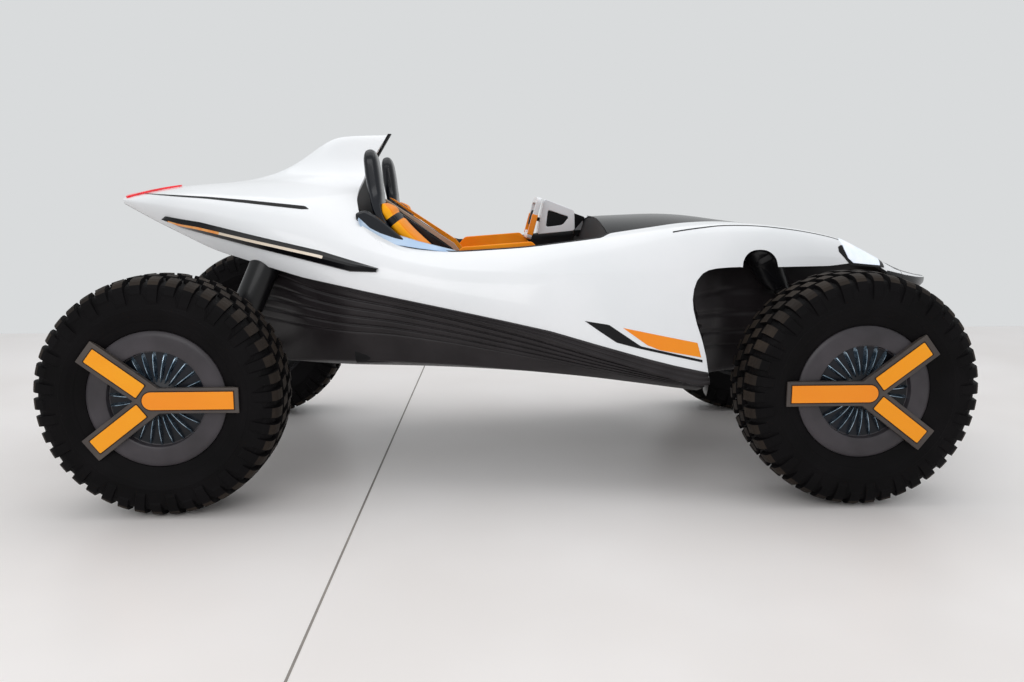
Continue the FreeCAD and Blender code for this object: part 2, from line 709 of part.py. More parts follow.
def beside_seat():
    """Step of the tub beside the left seat, with the seat's clearance."""
    inner = COCKPIT_LOW_HALF - TUB_WALL - SEAT_GAP
    return block(COCKPIT_REAR_X, COWL_X, inner, BODY_HALF, 0, COCKPIT_STEP_Z + SEAT_GAP)


def make_seat():
    """Left seat: one-piece shell with headrest on its pedestal."""
    front = shifted([at_share(x, 0, z) for x, z in SEAT_FRONT_SHARES], CUSHION_BACK, CUSHION_DOWN)
    slab = seat_slab(front, SEAT_SHELL_BACK, SEAT_SHELL_DOWN, SEAT_Y - SEAT_HALF, SEAT_Y + SEAT_HALF)
    for y0, y1 in (
        (SEAT_Y - SEAT_HALF, SEAT_Y - HEADREST_HALF),
        (SEAT_Y + HEADREST_HALF, SEAT_Y + SEAT_HALF),
    ):
        slab = slab.cut(block(COCKPIT_REAR_X, COWL_X, y0, y1, HEADREST_NECK_Z, BODY_HEIGHT))
    slab = slab.cut(beside_seat())
    top = min(p.z for p in front)
    pedestal = block(
        PEDESTAL_SHARES[0] * HALF_BASE,
        PEDESTAL_SHARES[1] * HALF_BASE,
        SEAT_Y - PEDESTAL_HALF,
        SEAT_Y + PEDESTAL_HALF,
        COCKPIT_FLOOR_Z + SEAT_GAP,
        top - SEAT_SHELL_DOWN / 2,
    )
    return fused([slab, pedestal])


def make_cushion():
    """Left seat's pad, from headrest to squab."""
    front = [at_share(x, 0, z) for x, z in SEAT_FRONT_SHARES]
    back = CUSHION_BACK - SEAT_GAP
    down = CUSHION_DOWN - SEAT_GAP
    pad = seat_slab(front, back, down, SEAT_Y - CUSHION_HALF, SEAT_Y + CUSHION_HALF)
    edge = HEADREST_HALF - HEADREST_POCKET
    for y0, y1 in ((SEAT_Y - CUSHION_HALF, SEAT_Y - edge), (SEAT_Y + edge, SEAT_Y + CUSHION_HALF)):
        pad = pad.cut(block(COCKPIT_REAR_X, COWL_X, y0, y1, HEADREST_NECK_Z, BODY_HEIGHT))
    return largest(pad.cut(beside_seat()))


def make_dash():
    """Dash panel under the cowl, raked away from the driver."""
    half = COCKPIT_HALF - TUB_WALL - SEAT_GAP
    top = COWL_UNDER_Z - TUB_WALL
    low = DASH_LOW_SHARE * BODY_HEIGHT
    points = [
        Vector(COWL_X + DASH_SET, 0, top),
        Vector(COWL_X + DASH_SET + DASH_RAKE, 0, low),
        Vector(COCKPIT_FRONT_X - TUB_WALL, 0, low),
        Vector(COCKPIT_FRONT_X - TUB_WALL, 0, top),
    ]
    return side_prism(points, -half, half)


def yoke_place(shape):
    """Tilt a piece built on the X axis and carry it to the steering centre."""
    placed = shape.copy()
    placed.rotate(Vector(0, 0, 0), Vector(0, 1, 0), YOKE_TILT_DEG)
    placed.translate(at_share(*YOKE_SHARES))
    return placed


def make_yoke():
    """Flat steering yoke with its hub and shaft."""
    half_t = YOKE_T / 2
    ring = block(-half_t, half_t, -YOKE_HALF_W, YOKE_HALF_W, -YOKE_HALF_H, YOKE_HALF_H)
    inner_w = YOKE_HALF_W - YOKE_GRIP
    inner_h = YOKE_HALF_H - YOKE_GRIP
    ring = ring.cut(block(-YOKE_T, YOKE_T, -inner_w, inner_w, -inner_h, inner_h))
    along_x = [e for e in ring.Edges if e.Length < YOKE_T + SEAT_GAP]
    ring = ring.makeFillet(YOKE_GRIP / 2, along_x)
    spoke = block(-half_t / 2, half_t / 2, -inner_w - half_t, inner_w + half_t, -half_t, half_t)
    hub = rod(Vector(-half_t, 0, 0), Vector(half_t, 0, 0), YOKE_HUB_R)
    shaft = rod(Vector(0, 0, 0), Vector(SHAFT_L, 0, 0), SHAFT_R)
    return yoke_place(fused([ring, spoke, hub, shaft]))


def make_shroud():
    """Wedge between the yoke and the cowl, with its side opening."""
    points = [at_share(x, 0, z) for x, z in SHROUD_SHARES]
    middle = at_share(*YOKE_SHARES).y
    wedge = side_prism(points, middle - SHROUD_HALF, middle + SHROUD_HALF)
    window = [at_share(x, 0, z) for x, z in SHROUD_WINDOW_SHARES]
    wedge = wedge.cut(side_prism(window, middle - SHROUD_HALF, middle + SHROUD_HALF))
    front = SHAFT_L + SHROUD_GAP
    swing = block(-front, YOKE_T / 2 + SHROUD_GAP, -BODY_HALF, BODY_HALF, -BODY_HALF, BODY_HALF)
    bore = rod(Vector(0, 0, 0), Vector(front, 0, 0), SHAFT_R + FIT_GAP)
    boss = rod(Vector(YOKE_T / 2 + SHROUD_GAP, 0, 0), Vector(front + SHAFT_R, 0, 0), YOKE_HUB_R)
    body = fused([wedge.cut(yoke_place(swing)), yoke_place(boss)])
    return largest(body.cut(yoke_place(bore)))


def make_pedals():
    """Two pedal pads on arms from the footwell's front wall."""
    wall = FOOTWELL_FRONT_X - TUB_WALL - SEAT_GAP
    face = FOOTWELL_FRONT_X - PEDAL_SET
    low = COCKPIT_FLOOR_Z + PEDAL_RISE
    high = low + PEDAL_H
    pedals = []
    for place in range(2):
        y = FOOTWELL_HALF - PEDAL_IN - place * PEDAL_PITCH
        pad = block(face, face + PEDAL_T, y - PEDAL_W / 2, y + PEDAL_W / 2, low, high)
        bar = block(face, wall, y - PEDAL_T, y + PEDAL_T, high - 3 * PEDAL_T, high - PEDAL_T)
        pedals.append(fused([pad, bar]))
    return Part.Compound(pedals)


def lugged_ring(y_tip, r_tip, y_root, r_root):
    """Points of one lugged loop: each lug's tip and the groove beside it."""
    pitch = 2 * math.pi / LUG_COUNT
    half = pitch * LUG_FILL_SHARE / 2
    points = []
    for i in range(LUG_COUNT):
        middle = -math.pi / 2 + i * pitch
        for angle, y, r in (
            (middle - half, y_tip, r_tip),
            (middle + half, y_tip, r_tip),
            (middle + half, y_root, r_root),
            (middle + pitch - half, y_root, r_root),
        ):
            points.append(Vector(r * math.cos(angle), y, r * math.sin(angle)))
    return points


def make_tyre():
    """Tyre with open-shoulder lugs, its tread flat under the lowest lug."""
    half_w = TYRE_W / 2
    chord = math.cos(math.pi / LUG_COUNT * LUG_FILL_SHARE)
    tip = TYRE_R / chord
    shoulder = SHOULDER_Y_SHARE * half_w
    crown = CROWN_Y_SHARE * half_w
    foot = FOOT_R_SHARE * TYRE_R
    bead = RIM_R + BEAD_LIP
    rows = [
        (BEAD_Y, bead, BEAD_Y, bead + WALL_STEP),
        (half_w, foot, half_w - WALL_STEP, foot),
        (shoulder, tip - SHOULDER_DROP, shoulder, tip - SHOULDER_DROP - LUG_DEPTH),
        (crown, tip, crown, tip - LUG_DEPTH),
    ]
    rings = [lugged_ring(*row) for row in rows]
    rings += [lugged_ring(-a, r, -b, s) for a, r, b, s in reversed(rows)]
    faces = [polygon_face(rings[0][::-1]), polygon_face(rings[-1])]
    for ring, following in zip(rings, rings[1:]):
        for k in range(len(ring)):
            faces.append(polygon_face([ring[k - 1], ring[k], following[k], following[k - 1]]))
    body = Part.Solid(Part.Shell(faces))
    hole = rod(Vector(0, -half_w, 0), Vector(0, half_w, 0), RIM_R)
    return body.cut(hole)


def make_rim():
    """Deep rim: barrel open to the car's side, web at the outer face, hub boss."""
    inner = RIM_R - RIM_WALL
    bore = SPINDLE_R + FIT_GAP
    bore_end = HUB_FACE_Y + SPINDLE_L + FIT_GAP
    profile = [
        (inner, -RIM_HALF),
        (RIM_R, -RIM_HALF),
        (RIM_R, RIM_FACE_Y),
        (0, RIM_FACE_Y),
        (0, bore_end),
        (bore, bore_end),
        (bore, HUB_FACE_Y),
        (HUB_R, HUB_FACE_Y),
        (HUB_R, RIM_FACE_Y - WEB_T),
        (inner, RIM_FACE_Y - WEB_T),
    ]
    return turned(profile)


def make_cover(toward):
    """Ring, sunk fan and three-armed cap; the long arm points along toward."""
    face = RIM_HALF + RING_T
    fan = face - FAN_SINK
    outer = RIM_R - FIT_GAP
    profile = [
        (0, RIM_FACE_Y),
        (outer, RIM_FACE_Y),
        (outer, face),
        (FAN_R, face),
        (FAN_R, fan),
        (FAN_HUB_R, fan),
        (FAN_HUB_R, face),
        (0, face),
    ]
    pieces = [turned(profile)]
    thick = BLADE_T / 2
    for i in range(BLADE_COUNT):
        blade = block(FAN_HUB_R - BLADE_T, FAN_R + BLADE_T, fan - FIT_GAP, face - BLADE_GAP, -thick, thick)
        blade.rotate(Vector(0, 0, 0), Vector(0, 1, 0), 360 * (i + 1 / 2) / BLADE_COUNT)
        pieces.append(blade)
    for turn in (0, ARM_SIDE_DEG, -ARM_SIDE_DEG):
        arm = block(0, ARM_R, face - FIT_GAP, face + ARM_LIFT + ARM_T, -ARM_W / 2, ARM_W / 2)
        arm = arm.cut(block(RIM_R, ARM_R + OVERRUN, face - ARM_LIFT, face + ARM_LIFT, -ARM_W, ARM_W))
        arm.rotate(Vector(0, 0, 0), Vector(0, 1, 0), turn + (0 if toward > 0 else 180))
        pieces.append(arm)
    return fused(pieces)


def kingpin():
    """Distance of the kingpins from the centre plane."""
    return HUB_Y - KINGPIN_INSET


def make_upright():
    """Left upright about the wheel centre's height: post, pins, flange, spindle."""
    pin_y = -KINGPIN_INSET
    post = block(
        -UPRIGHT_W / 2,
        UPRIGHT_W / 2,
        pin_y - UPRIGHT_T / 2,
        pin_y + UPRIGHT_T / 2,
        -UPRIGHT_HALF_H,
        UPRIGHT_HALF_H,
    )
    pin_end = UPRIGHT_HALF_H + BOSS_GAP + PIN_L
    pins = rod(Vector(0, pin_y, -pin_end), Vector(0, pin_y, pin_end), PIN_R)
    flange_y = HUB_FACE_Y - FIT_GAP
    half = NECK_W / 2
    neck = block(-half, half, pin_y, flange_y, -half, half)
    flange = rod(Vector(0, flange_y - FLANGE_T, 0), Vector(0, flange_y, 0), FLANGE_R)
    spindle = rod(Vector(0, flange_y, 0), Vector(0, HUB_FACE_Y + SPINDLE_L, 0), SPINDLE_R)
    return fused([post, pins, neck, flange, spindle])


def make_knuckle():
    """Left steered upright with its steering arm to the rear."""
    pin_y = -KINGPIN_INSET
    arm = block(
        -STEER_ARM_L,
        0,
        pin_y - STEER_ARM_T / 2,
        pin_y + STEER_ARM_T / 2,
        -STEER_ARM_T,
        STEER_ARM_T,
    )
    return fused([make_upright(), arm])


def at_corner(shape, end, side):
    """Carry a left-hand wheel piece from its own centre to a corner."""
    placed = shape.copy()
    placed.translate(Vector(end * HALF_BASE, HUB_Y, TYRE_R))
    return placed if side > 0 else mirrored(placed)


def boss_centre(end, upper):
    """Middle of the left boss over or under an upright."""
    rise = UPRIGHT_HALF_H + BOSS_GAP + BOSS_H / 2
    return Vector(end * HALF_BASE, kingpin(), TYRE_R + (rise if upper else -rise))


def bar(start, end, width):
    """Square bar between two points, its sides upright."""
    line = end.sub(start)
    side = Vector(0, 0, 1).cross(line).normalize() * (width / 2)
    rise = line.cross(side).normalize() * (width / 2)
    corners = [start + side + rise, start - side + rise, start - side - rise, start + side - rise]
    return polygon_face(corners).extrude(line)


def make_arm(end, upper, roots, body):
    """Left wishbone: boss around the pin and two bars to the body."""
    middle = boss_centre(end, upper)
    half = Vector(0, 0, BOSS_H / 2)
    boss = rod(middle.sub(half), middle.add(half), BOSS_R)
    arm = fused([boss] + [bar(middle, root, BAR_W) for root in roots])
    hole = rod(middle.sub(half * 2), middle.add(half * 2), PIN_R + FIT_GAP)
    return largest(arm.cut(hole).cut(body))


def make_arms(shell):
    """The four pairs of wishbones."""
    hull = shell["lower_hull"]
    arms = {}
    front_y = FRONT_ROOT_Y_SHARE * BODY_HALF
    for level, upper, share in (
        ("lower", False, FRONT_LOW_ROOT_Z_SHARE),
        ("upper", True, FRONT_HIGH_ROOT_Z_SHARE),
    ):
        z = share * BODY_HEIGHT
        roots = [Vector(HALF_BASE + d * FRONT_ROOT_SPREAD, front_y, z) for d in (-1, 1)]
        arms["front_" + level + "_arms"] = both_sides(make_arm(1, upper, roots, hull))
    body = hull.fuse(shell["tail_deck"])
    for level, upper, share in (
        ("lower", False, REAR_LOW_ROOT_Z_SHARE),
        ("upper", True, REAR_HIGH_ROOT_Z_SHARE),
    ):
        roots = [at_share(REAR_ROOT_X_SHARE, y, share) for y in REAR_ROOT_Y_SHARES]
        arms["rear_" + level + "_arms"] = both_sides(make_arm(-1, upper, roots, body))
    return arms


def make_front_struts(shell, arms):
    """Bell-topped struts from under the fenders to the upper arms."""
    top = at_share(*FRONT_STRUT_TOP_SHARES)
    foot = at_share(*FRONT_STRUT_FOOT_SHARES)
    line = foot.sub(top).normalize()
    neck = top.add(line * STRUT_TAPER_L)
    head = top.sub(line * STRUT_BELL_L)
    strut = fused([
        rod(head, top, STRUT_BELL_R),
        rod(top, neck, STRUT_BELL_R, STRUT_BODY_R),
        rod(neck, foot, STRUT_BODY_R, STRUT_FOOT_R),
    ])
    for name in ("side_panel_left", "hood"):
        strut = strut.cut(shell[name])
    return both_sides(largest(strut.cut(arms["front_upper_arms"])))


def make_rear_struts(shell, arms):
    """Struts from under the tail to the lower arms."""
    top = at_share(*REAR_STRUT_TOP_SHARES)
    foot = at_share(*REAR_STRUT_FOOT_SHARES)
    strut = rod(top, foot, REAR_STRUT_R, REAR_STRUT_FOOT_R)
    for name in ("tail_deck", "lower_hull"):
        strut = strut.cut(shell[name])
    for name in ("rear_upper_arms", "rear_lower_arms"):
        strut = strut.cut(arms[name])
    return both_sides(largest(strut))


def make_parts():
    """Every named piece."""
    shell, tail_full, front_full = make_shell()
    parts = dict(shell)
    parts["fin_spine"] = make_spine()
    blade = make_side_blade(tail_full, front_full)
    seat = make_seat()
    cushion = make_cushion()
    for name, side in SIDES:
        parts["side_blade_" + name] = blade if side > 0 else mirrored(blade)
        parts["seat_" + name] = seat if side > 0 else mirrored(seat)
        parts["cushion_" + name] = cushion if side > 0 else mirrored(cushion)
        parts["knuckle_" + name] = at_corner(make_knuckle(), 1, side)
    parts["tail_lamp"] = make_tail_lamp()
    parts["dash"] = make_dash()
    parts["steering_wheel"] = make_yoke()
    parts["steering_shroud"] = make_shroud()
    parts["pedals"] = make_pedals()
    arms = make_arms(shell)
    parts.update(arms)
    parts["front_struts"] = make_front_struts(shell, arms)
    parts["rear_struts"] = make_rear_struts(shell, arms)
    parts["rear_carriers"] = both_sides(at_corner(make_upright(), -1, 1))
    tyre = make_tyre()
    rim = make_rim()
    for corner, end, side in CORNERS:
        parts["tyre_" + corner] = at_corner(tyre, end, side)
        parts["rim_" + corner] = at_corner(rim, end, side)
        parts["wheel_cover_" + corner] = at_corner(make_cover(-end), end, side)
    return parts


def main():
    """Move every piece to the common origin, write it and print what it holds."""
    os.makedirs("parts", exist_ok=True)
    for name, shape in sorted(make_parts().items()):
        shape.translate(Vector(-AHEAD, 0, 0))
        solids = shape.Solids
        print(f"{name}: {len(solids)} solid(s), {shape.Volume:.0f} mm3, valid {shape.isValid()}")
        shape.exportStep("parts/" + name + ".step")


if __name__ == "__main__":
    main()
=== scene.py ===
# %% [markdown]
# # Electric dune buggy
# A two-seat open buggy: a white, fin-tailed body over a dark ribbed hull, four lugged
# tyres with turbine wheel covers, and orange accents. A modeller could push such a body
# out of boxes. Here each surface is a grid of points worked out with numpy from a few
# guide lines, so that neighbouring panels share one surface and meet at real split lines.

# %% The fixed frame
import json
import math

import bmesh
import bpy
import numpy as np
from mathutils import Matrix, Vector


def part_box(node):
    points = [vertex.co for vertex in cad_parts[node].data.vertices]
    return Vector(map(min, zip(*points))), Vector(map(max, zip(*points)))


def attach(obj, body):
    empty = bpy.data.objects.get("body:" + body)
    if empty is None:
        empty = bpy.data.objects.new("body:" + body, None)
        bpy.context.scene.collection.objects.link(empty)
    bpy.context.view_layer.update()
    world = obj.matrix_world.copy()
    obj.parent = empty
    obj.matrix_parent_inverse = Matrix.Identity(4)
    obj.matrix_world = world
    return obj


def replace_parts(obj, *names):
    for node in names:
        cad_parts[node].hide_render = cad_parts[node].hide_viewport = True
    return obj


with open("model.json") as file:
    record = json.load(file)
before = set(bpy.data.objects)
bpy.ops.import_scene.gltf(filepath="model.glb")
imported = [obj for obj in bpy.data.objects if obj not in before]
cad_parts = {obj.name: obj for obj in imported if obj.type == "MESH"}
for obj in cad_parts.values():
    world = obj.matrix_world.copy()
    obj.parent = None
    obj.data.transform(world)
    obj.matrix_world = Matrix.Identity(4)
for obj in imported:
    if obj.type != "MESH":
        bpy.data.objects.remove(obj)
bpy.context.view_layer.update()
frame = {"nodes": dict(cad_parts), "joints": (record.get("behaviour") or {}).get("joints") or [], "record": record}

JOINTS = {joint["name"]: joint for joint in frame["joints"]}
SIDES = (("right", -1), ("left", 1))

# %% [markdown]
# The wheel joints give the wheelbase, the track and the tyre radius, and one tyre's box
# gives its width. The body's half width and height scale every guide line. The guide
# lines are drawn with x = 0 midway between the axles; SHIFT carries them to the frame.

# %% Driving sizes, in metres
HUB_FRONT = np.array(JOINTS["spin_front_left"]["pos_m"])
HUB_REAR = np.array(JOINTS["spin_rear_left"]["pos_m"])
HALF_BASE = float(HUB_FRONT[0] - HUB_REAR[0]) / 2
SHIFT = float(HUB_FRONT[0] + HUB_REAR[0]) / 2
HUB_Y, TYRE_R = float(HUB_FRONT[1]), float(HUB_FRONT[2])
TYRE_HALF = (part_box("tyre_front_left")[1][1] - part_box("tyre_front_left")[0][1]) / 2
BODY_HALF = 0.760
BODY_HEIGHT = 1.475
print(f"half wheelbase {HALF_BASE:.4f}, tyre radius {TYRE_R:.3f}, half width {TYRE_HALF:.3f}")

# %% [markdown]
# Paint charts give colours as sRGB hex values, while a shader works in linear light.
# One function undoes the sRGB curve for each channel.

# %% Colour from a hex value
def linear(hex_colour):
    """Linear RGBA: each channel under 0.04045 is divided by 12.92, others by the power law."""
    values = np.array([int(hex_colour[i:i + 2], 16) for i in (1, 3, 5)]) / 255
    lit = np.where(values <= 0.04045, values / 12.92, ((values + 0.055) / 1.055) ** 2.4)
    return (*lit.tolist(), 1.0)

# %% [markdown]
# A material is a small tree of nodes. One helper adds any node with its settings and
# links, and another starts a material from plain numbers on the shader's own sockets.

# %% Shader helpers
def add(tree, kind, links=None, values=None, **fields):
    """Add one node: fields first, then plain socket values, then links from outputs."""
    made = tree.nodes.new("ShaderNode" + kind)
    for name, value in fields.items():
        setattr(made, name, value)
    for name, value in (values or {}).items():
        made.inputs[name].default_value = value
    for name, source in (links or {}).items():
        tree.links.new(source, made.inputs[name])
    return made


def finish_of(name, hex_colour, **sockets):
    """New material: base colour and plain values for the shader's named sockets."""
    material = bpy.data.materials.new(name)
    material.use_nodes = True
    tree = material.node_tree
    shader = tree.nodes["Principled BSDF"]
    shader.inputs["Base Color"].default_value = linear(hex_colour)
    for key, value in sockets.items():
        shader.inputs[key.replace("_", " ").title().replace("Ior", "IOR")].default_value = value
    return material, tree, shader


def grain(size_mm):
    """Noise scale, per metre, for grains of about this size in millimetres."""
    return 1000.0 / size_mm

# %% [markdown]
# Painted and moulded surfaces are never one flat tone. The first helper lets the base
# colour drift between two close tones, and the second turns a pattern into a bump whose
# height is given in real metres. `tinted` makes lamps, bare metal and the floor, which
# need no bump, and adds a glow to a lit lens.

# %% Tone and bump
def drift(tree, shader, low, high, size_mm, span=(0.35, 0.65), detail=3.0):
    """Base colour goes from low to high tone with object-space noise of a real size."""
    place = add(tree, "TexCoord").outputs["Object"]
    noise = add(tree, "TexNoise", {"Vector": place}, {"Scale": grain(size_mm), "Detail": detail})
    ramp = add(tree, "ValToRGB", {"Fac": noise.outputs["Fac"]})
    for stop, where, colour in zip(ramp.color_ramp.elements, span, (low, high)):
        stop.position, stop.color = where, linear(colour)
    tree.links.new(ramp.outputs["Color"], shader.inputs["Base Color"])
    return place


def relief(tree, shader, place, size_mm, height_mm, detail=2.0):
    """Bump of a real height from noise with grains of a real size."""
    noise = add(tree, "TexNoise", {"Vector": place}, {"Scale": grain(size_mm), "Detail": detail})
    bump = add(tree, "Bump", {"Height": noise.outputs["Fac"]}, {"Distance": height_mm / 1000})
    tree.links.new(bump.outputs["Normal"], shader.inputs["Normal"])


def tinted(name, hex_colour, tones, glow=None, **sockets):
    """New material drifting between two tones (low, high, size in mm), perhaps with a glow."""
    material, tree, shader = finish_of(name, hex_colour, **sockets)
    drift(tree, shader, *tones)
    if glow:
        shader.inputs["Emission Color"].default_value = linear(glow[0])
        shader.inputs["Emission Strength"].default_value = glow[1]
    return material

# %% [markdown]
# The body is gloss enamel under clear lacquer, which gives a sharp reflection over a
# soft one. The hull is moulded composite with a fine grain, which breaks the highlight.

# %% Paint and composite
def enamel(name, low, high, rough, coat, peel_mm=9.0, shine=0.5):
    """Sprayed enamel under lacquer with faint orange peel."""
    material, tree, shader = finish_of(
        name, low, roughness=rough, coat_weight=coat, coat_roughness=0.04, specular_ior_level=shine)
    place = drift(tree, shader, low, high, 420)
    relief(tree, shader, place, peel_mm, 0.05, 1.0)
    return material


def moulded(name, low, high, rough, grain_mm=1.8, height_mm=0.10, shine=0.3):
    """Moulded composite, rubber or plastic with an even grain."""
    material, tree, shader = finish_of(name, low, roughness=rough, specular_ior_level=shine)
    place = drift(tree, shader, low, high, 150)
    relief(tree, shader, place, grain_mm, height_mm)
    return material


WHITE_ENAMEL = enamel("gloss white enamel", "#ECEEF0", "#F2F3F5", 0.30, 0.5)
BLACK_ENAMEL = enamel("gloss black enamel", "#08080A", "#0E0E11", 0.22, 0.05, shine=0.16)
HOOD_BLACK = enamel("deep black hood lacquer", "#07080A", "#0C0E12", 0.20, 0.0, shine=0.07)
HULL_COMPOSITE = moulded("satin black hull composite", "#1E1A1C", "#292527", 0.38, 2.4)
TRIM_BLACK = moulded("matt black moulded trim", "#0F0F11", "#161619", 0.55, shine=0.2)
COVER_GREY = moulded("warm grey moulded cover", "#443E3C", "#524B47", 0.42, 1.2, 0.04)
DARK_STEEL = enamel("dark powder-coated steel", "#121214", "#1A1A1D", 0.42, 0.1, 3.0, 0.25)
WHITE_PLASTIC = enamel("gloss white plastic", "#E6E8EC", "#EFF0F3", 0.28, 0.4)
ORANGE_ENAMEL = enamel("orange enamel", "#FB8E0C", "#FF9A14", 0.34, 0.25, shine=0.3)
AMBER_ENAMEL = enamel("amber yellow enamel", "#FF9E00", "#FFAA08", 0.34, 0.25, shine=0.3)
RIM_PAINT = enamel("dark metallic rim paint", "#121215", "#1B1B1F", 0.30, 0.2, shine=0.3)
print(len(bpy.data.materials), "materials so far")

# %% [markdown]
# Every piece below goes through the same few calls. `xyz` stacks coordinates into points,
# `grid_faces` numbers the quads of a grid of points, `paired` adds the mirror image, and
# `piece` turns points and faces into a mesh object at the origin that rides on a body.
# `sheet` does the last two steps for a plain grid, and `twins` for one on each side.

# %% Grid and piece helpers
MIRROR = np.array([1, -1, 1])


def xyz(x, y, z):
    """Points from three coordinate arrays of shapes that fit together."""
    return np.stack(np.broadcast_arrays(x, y, z), -1)


def paired(points, faces):
    """A form and its mirror image across the centre plane, its faces turned round."""
    points = np.reshape(points, (-1, 3))
    return np.concatenate([points, points * MIRROR]), np.concatenate([faces, faces[:, ::-1] + len(points)])


def sided(points, side, y=0.0):
    """Points drawn for the left side, put on either side at a distance from the middle."""
    return points * np.array([1, side, 1]) + np.array([0, side * y, 0])


def grid_faces(rows, cols, wrap_rows=False, wrap_cols=False, flip=False):
    """Quads between neighbouring grid points, wrapped round where a seam is closed."""
    r = np.arange(rows if wrap_rows else rows - 1)[:, None]
    c = np.arange(cols if wrap_cols else cols - 1)[None, :]
    near, far = r * cols, (r + 1) % rows * cols
    after = (c + 1) % cols
    quads = np.stack(np.broadcast_arrays(near + c, near + after, far + after, far + c), -1).reshape(-1, 4)
    return quads[:, ::-1] if flip else quads


def piece(name, points, faces, materials, slot, body="body", smooth=True, index=None):
    """Mesh object from points (n, 3) and equal-sized faces, riding on a body."""
    mesh = bpy.data.meshes.new(name)
    placed = np.asarray(points, float).reshape(-1, 3) + np.array([SHIFT, 0.0, 0.0])
    mesh.from_pydata(placed.tolist(), [], faces if isinstance(faces, list) else faces.tolist())
    for material in materials if isinstance(materials, (list, tuple)) else [materials]:
        mesh.materials.append(material)
    mesh.polygons.foreach_set("use_smooth", np.full(len(mesh.polygons), smooth))
    if index is not None:
        mesh.polygons.foreach_set("material_index", np.asarray(index, np.int32))
    made = bpy.data.objects.new(name, mesh)
    bpy.context.collection.objects.link(made)
    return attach(made, body)


def sheet(name, points, materials, slot, flip=False, wrap_cols=False, **options):
    """Piece whose points are a grid of rows and columns."""
    faces = grid_faces(*points.shape[:2], wrap_cols=wrap_cols, flip=flip)
    return piece(name, points, faces, materials, slot, **options)


def twins(name, points, materials, slot, **options):
    """Sheet on the left side and its mirror image, both turned to face outwards."""
    made = piece(name, *paired(points, grid_faces(*points.shape[:2], flip=True)), materials, slot, **options)
    if made.data.polygons[0].normal.y < 0:
        made.data.flip_normals()
    return made


def walled(made, thickness, rim_material=0, inner_material=0):
    """Give an open sheet a wall on its inner side, with crisp rims."""
    mesh = made.data
    used = np.zeros(len(mesh.loops), np.int32)
    mesh.loops.foreach_get("edge_index", used)
    crisp = mesh.attributes.new("sharp_edge", "BOOLEAN", "EDGE")
    crisp.data.foreach_set("value", np.bincount(used, minlength=len(mesh.edges)) == 1)
    wall = made.modifiers.new("wall", "SOLIDIFY")
    wall.thickness, wall.offset = thickness, -1
    wall.use_even_offset = False
    wall.material_offset, wall.material_offset_rim = inner_material, rim_material
    return made

# %% [markdown]
# A body designer draws guide lines first: the crown along the middle, the shoulder, the
# widest line and the lower edge. Each is kept here as shares of the half wheelbase along
# the car and of the half width or height across it. A clay modeller would sweep them with
# a flexible batten. The function `batten` does the same: straight runs between the shares,
# softened by a Gaussian about 45 mm wide.

# %% Guide lines as smooth functions of x
STEP = 0.005
BATTEN_X = np.arange(-2.0, 2.3, STEP)


def batten(shares, scale, soft=0.045):
    """Straight runs through the shares, carried on past both ends, then blurred."""
    x, value = np.array(shares).T * np.array([[HALF_BASE], [scale]])
    rise = np.diff(value) / np.diff(x)
    reach = np.array([BATTEN_X[0] - 1, BATTEN_X[-1] + 1])
    ends = np.array([value[0], value[-1]]) + rise[[0, -1]] * (reach - x[[0, -1]])
    run = np.interp(BATTEN_X, np.r_[reach[0], x, reach[1]], np.r_[ends[0], value, ends[1]])
    offsets = np.arange(-4 * soft, 4 * soft, STEP)
    weights = np.exp(-0.5 * (offsets / soft) ** 2)
    padded = np.pad(run, len(offsets), "reflect", reflect_type="odd")
    blurred = np.convolve(padded, weights / weights.sum(), "same")[len(offsets):-len(offsets)]
    return lambda q: np.interp(q, BATTEN_X, blurred)


def softened(values, width, mode="edge", **padding):
    """Running mean under a bell-shaped window, with the ends carried on."""
    kernel = np.hanning(width)
    return np.convolve(np.pad(values, width // 2, mode, **padding), kernel / kernel.sum(), "valid")


def bezier(start, corner, end, t):
    """Quadratic Bezier curve that leaves and arrives along the lines to its corner."""
    return start * (1 - t) ** 2 + corner * 2 * t * (1 - t) + end * t ** 2


def unit(vectors):
    """Vectors of length one; a vector of no length stays as it is."""
    return vectors / np.maximum(np.linalg.norm(vectors, axis=-1, keepdims=True), 1e-9)


def turns(count):
    """Angles of evenly spaced points on a circle."""
    return 2 * np.pi * np.arange(count) / count


def along(edge, steps):
    """Evenly spaced points along an edge given by its corners."""
    edge = np.array(edge, float)
    run = np.r_[0, np.cumsum(np.linalg.norm(np.diff(edge, axis=0), axis=1))]
    at = np.linspace(0, run[-1], steps)
    return np.stack([np.interp(at, run, edge[:, 0]), np.interp(at, run, edge[:, 1])], -1)

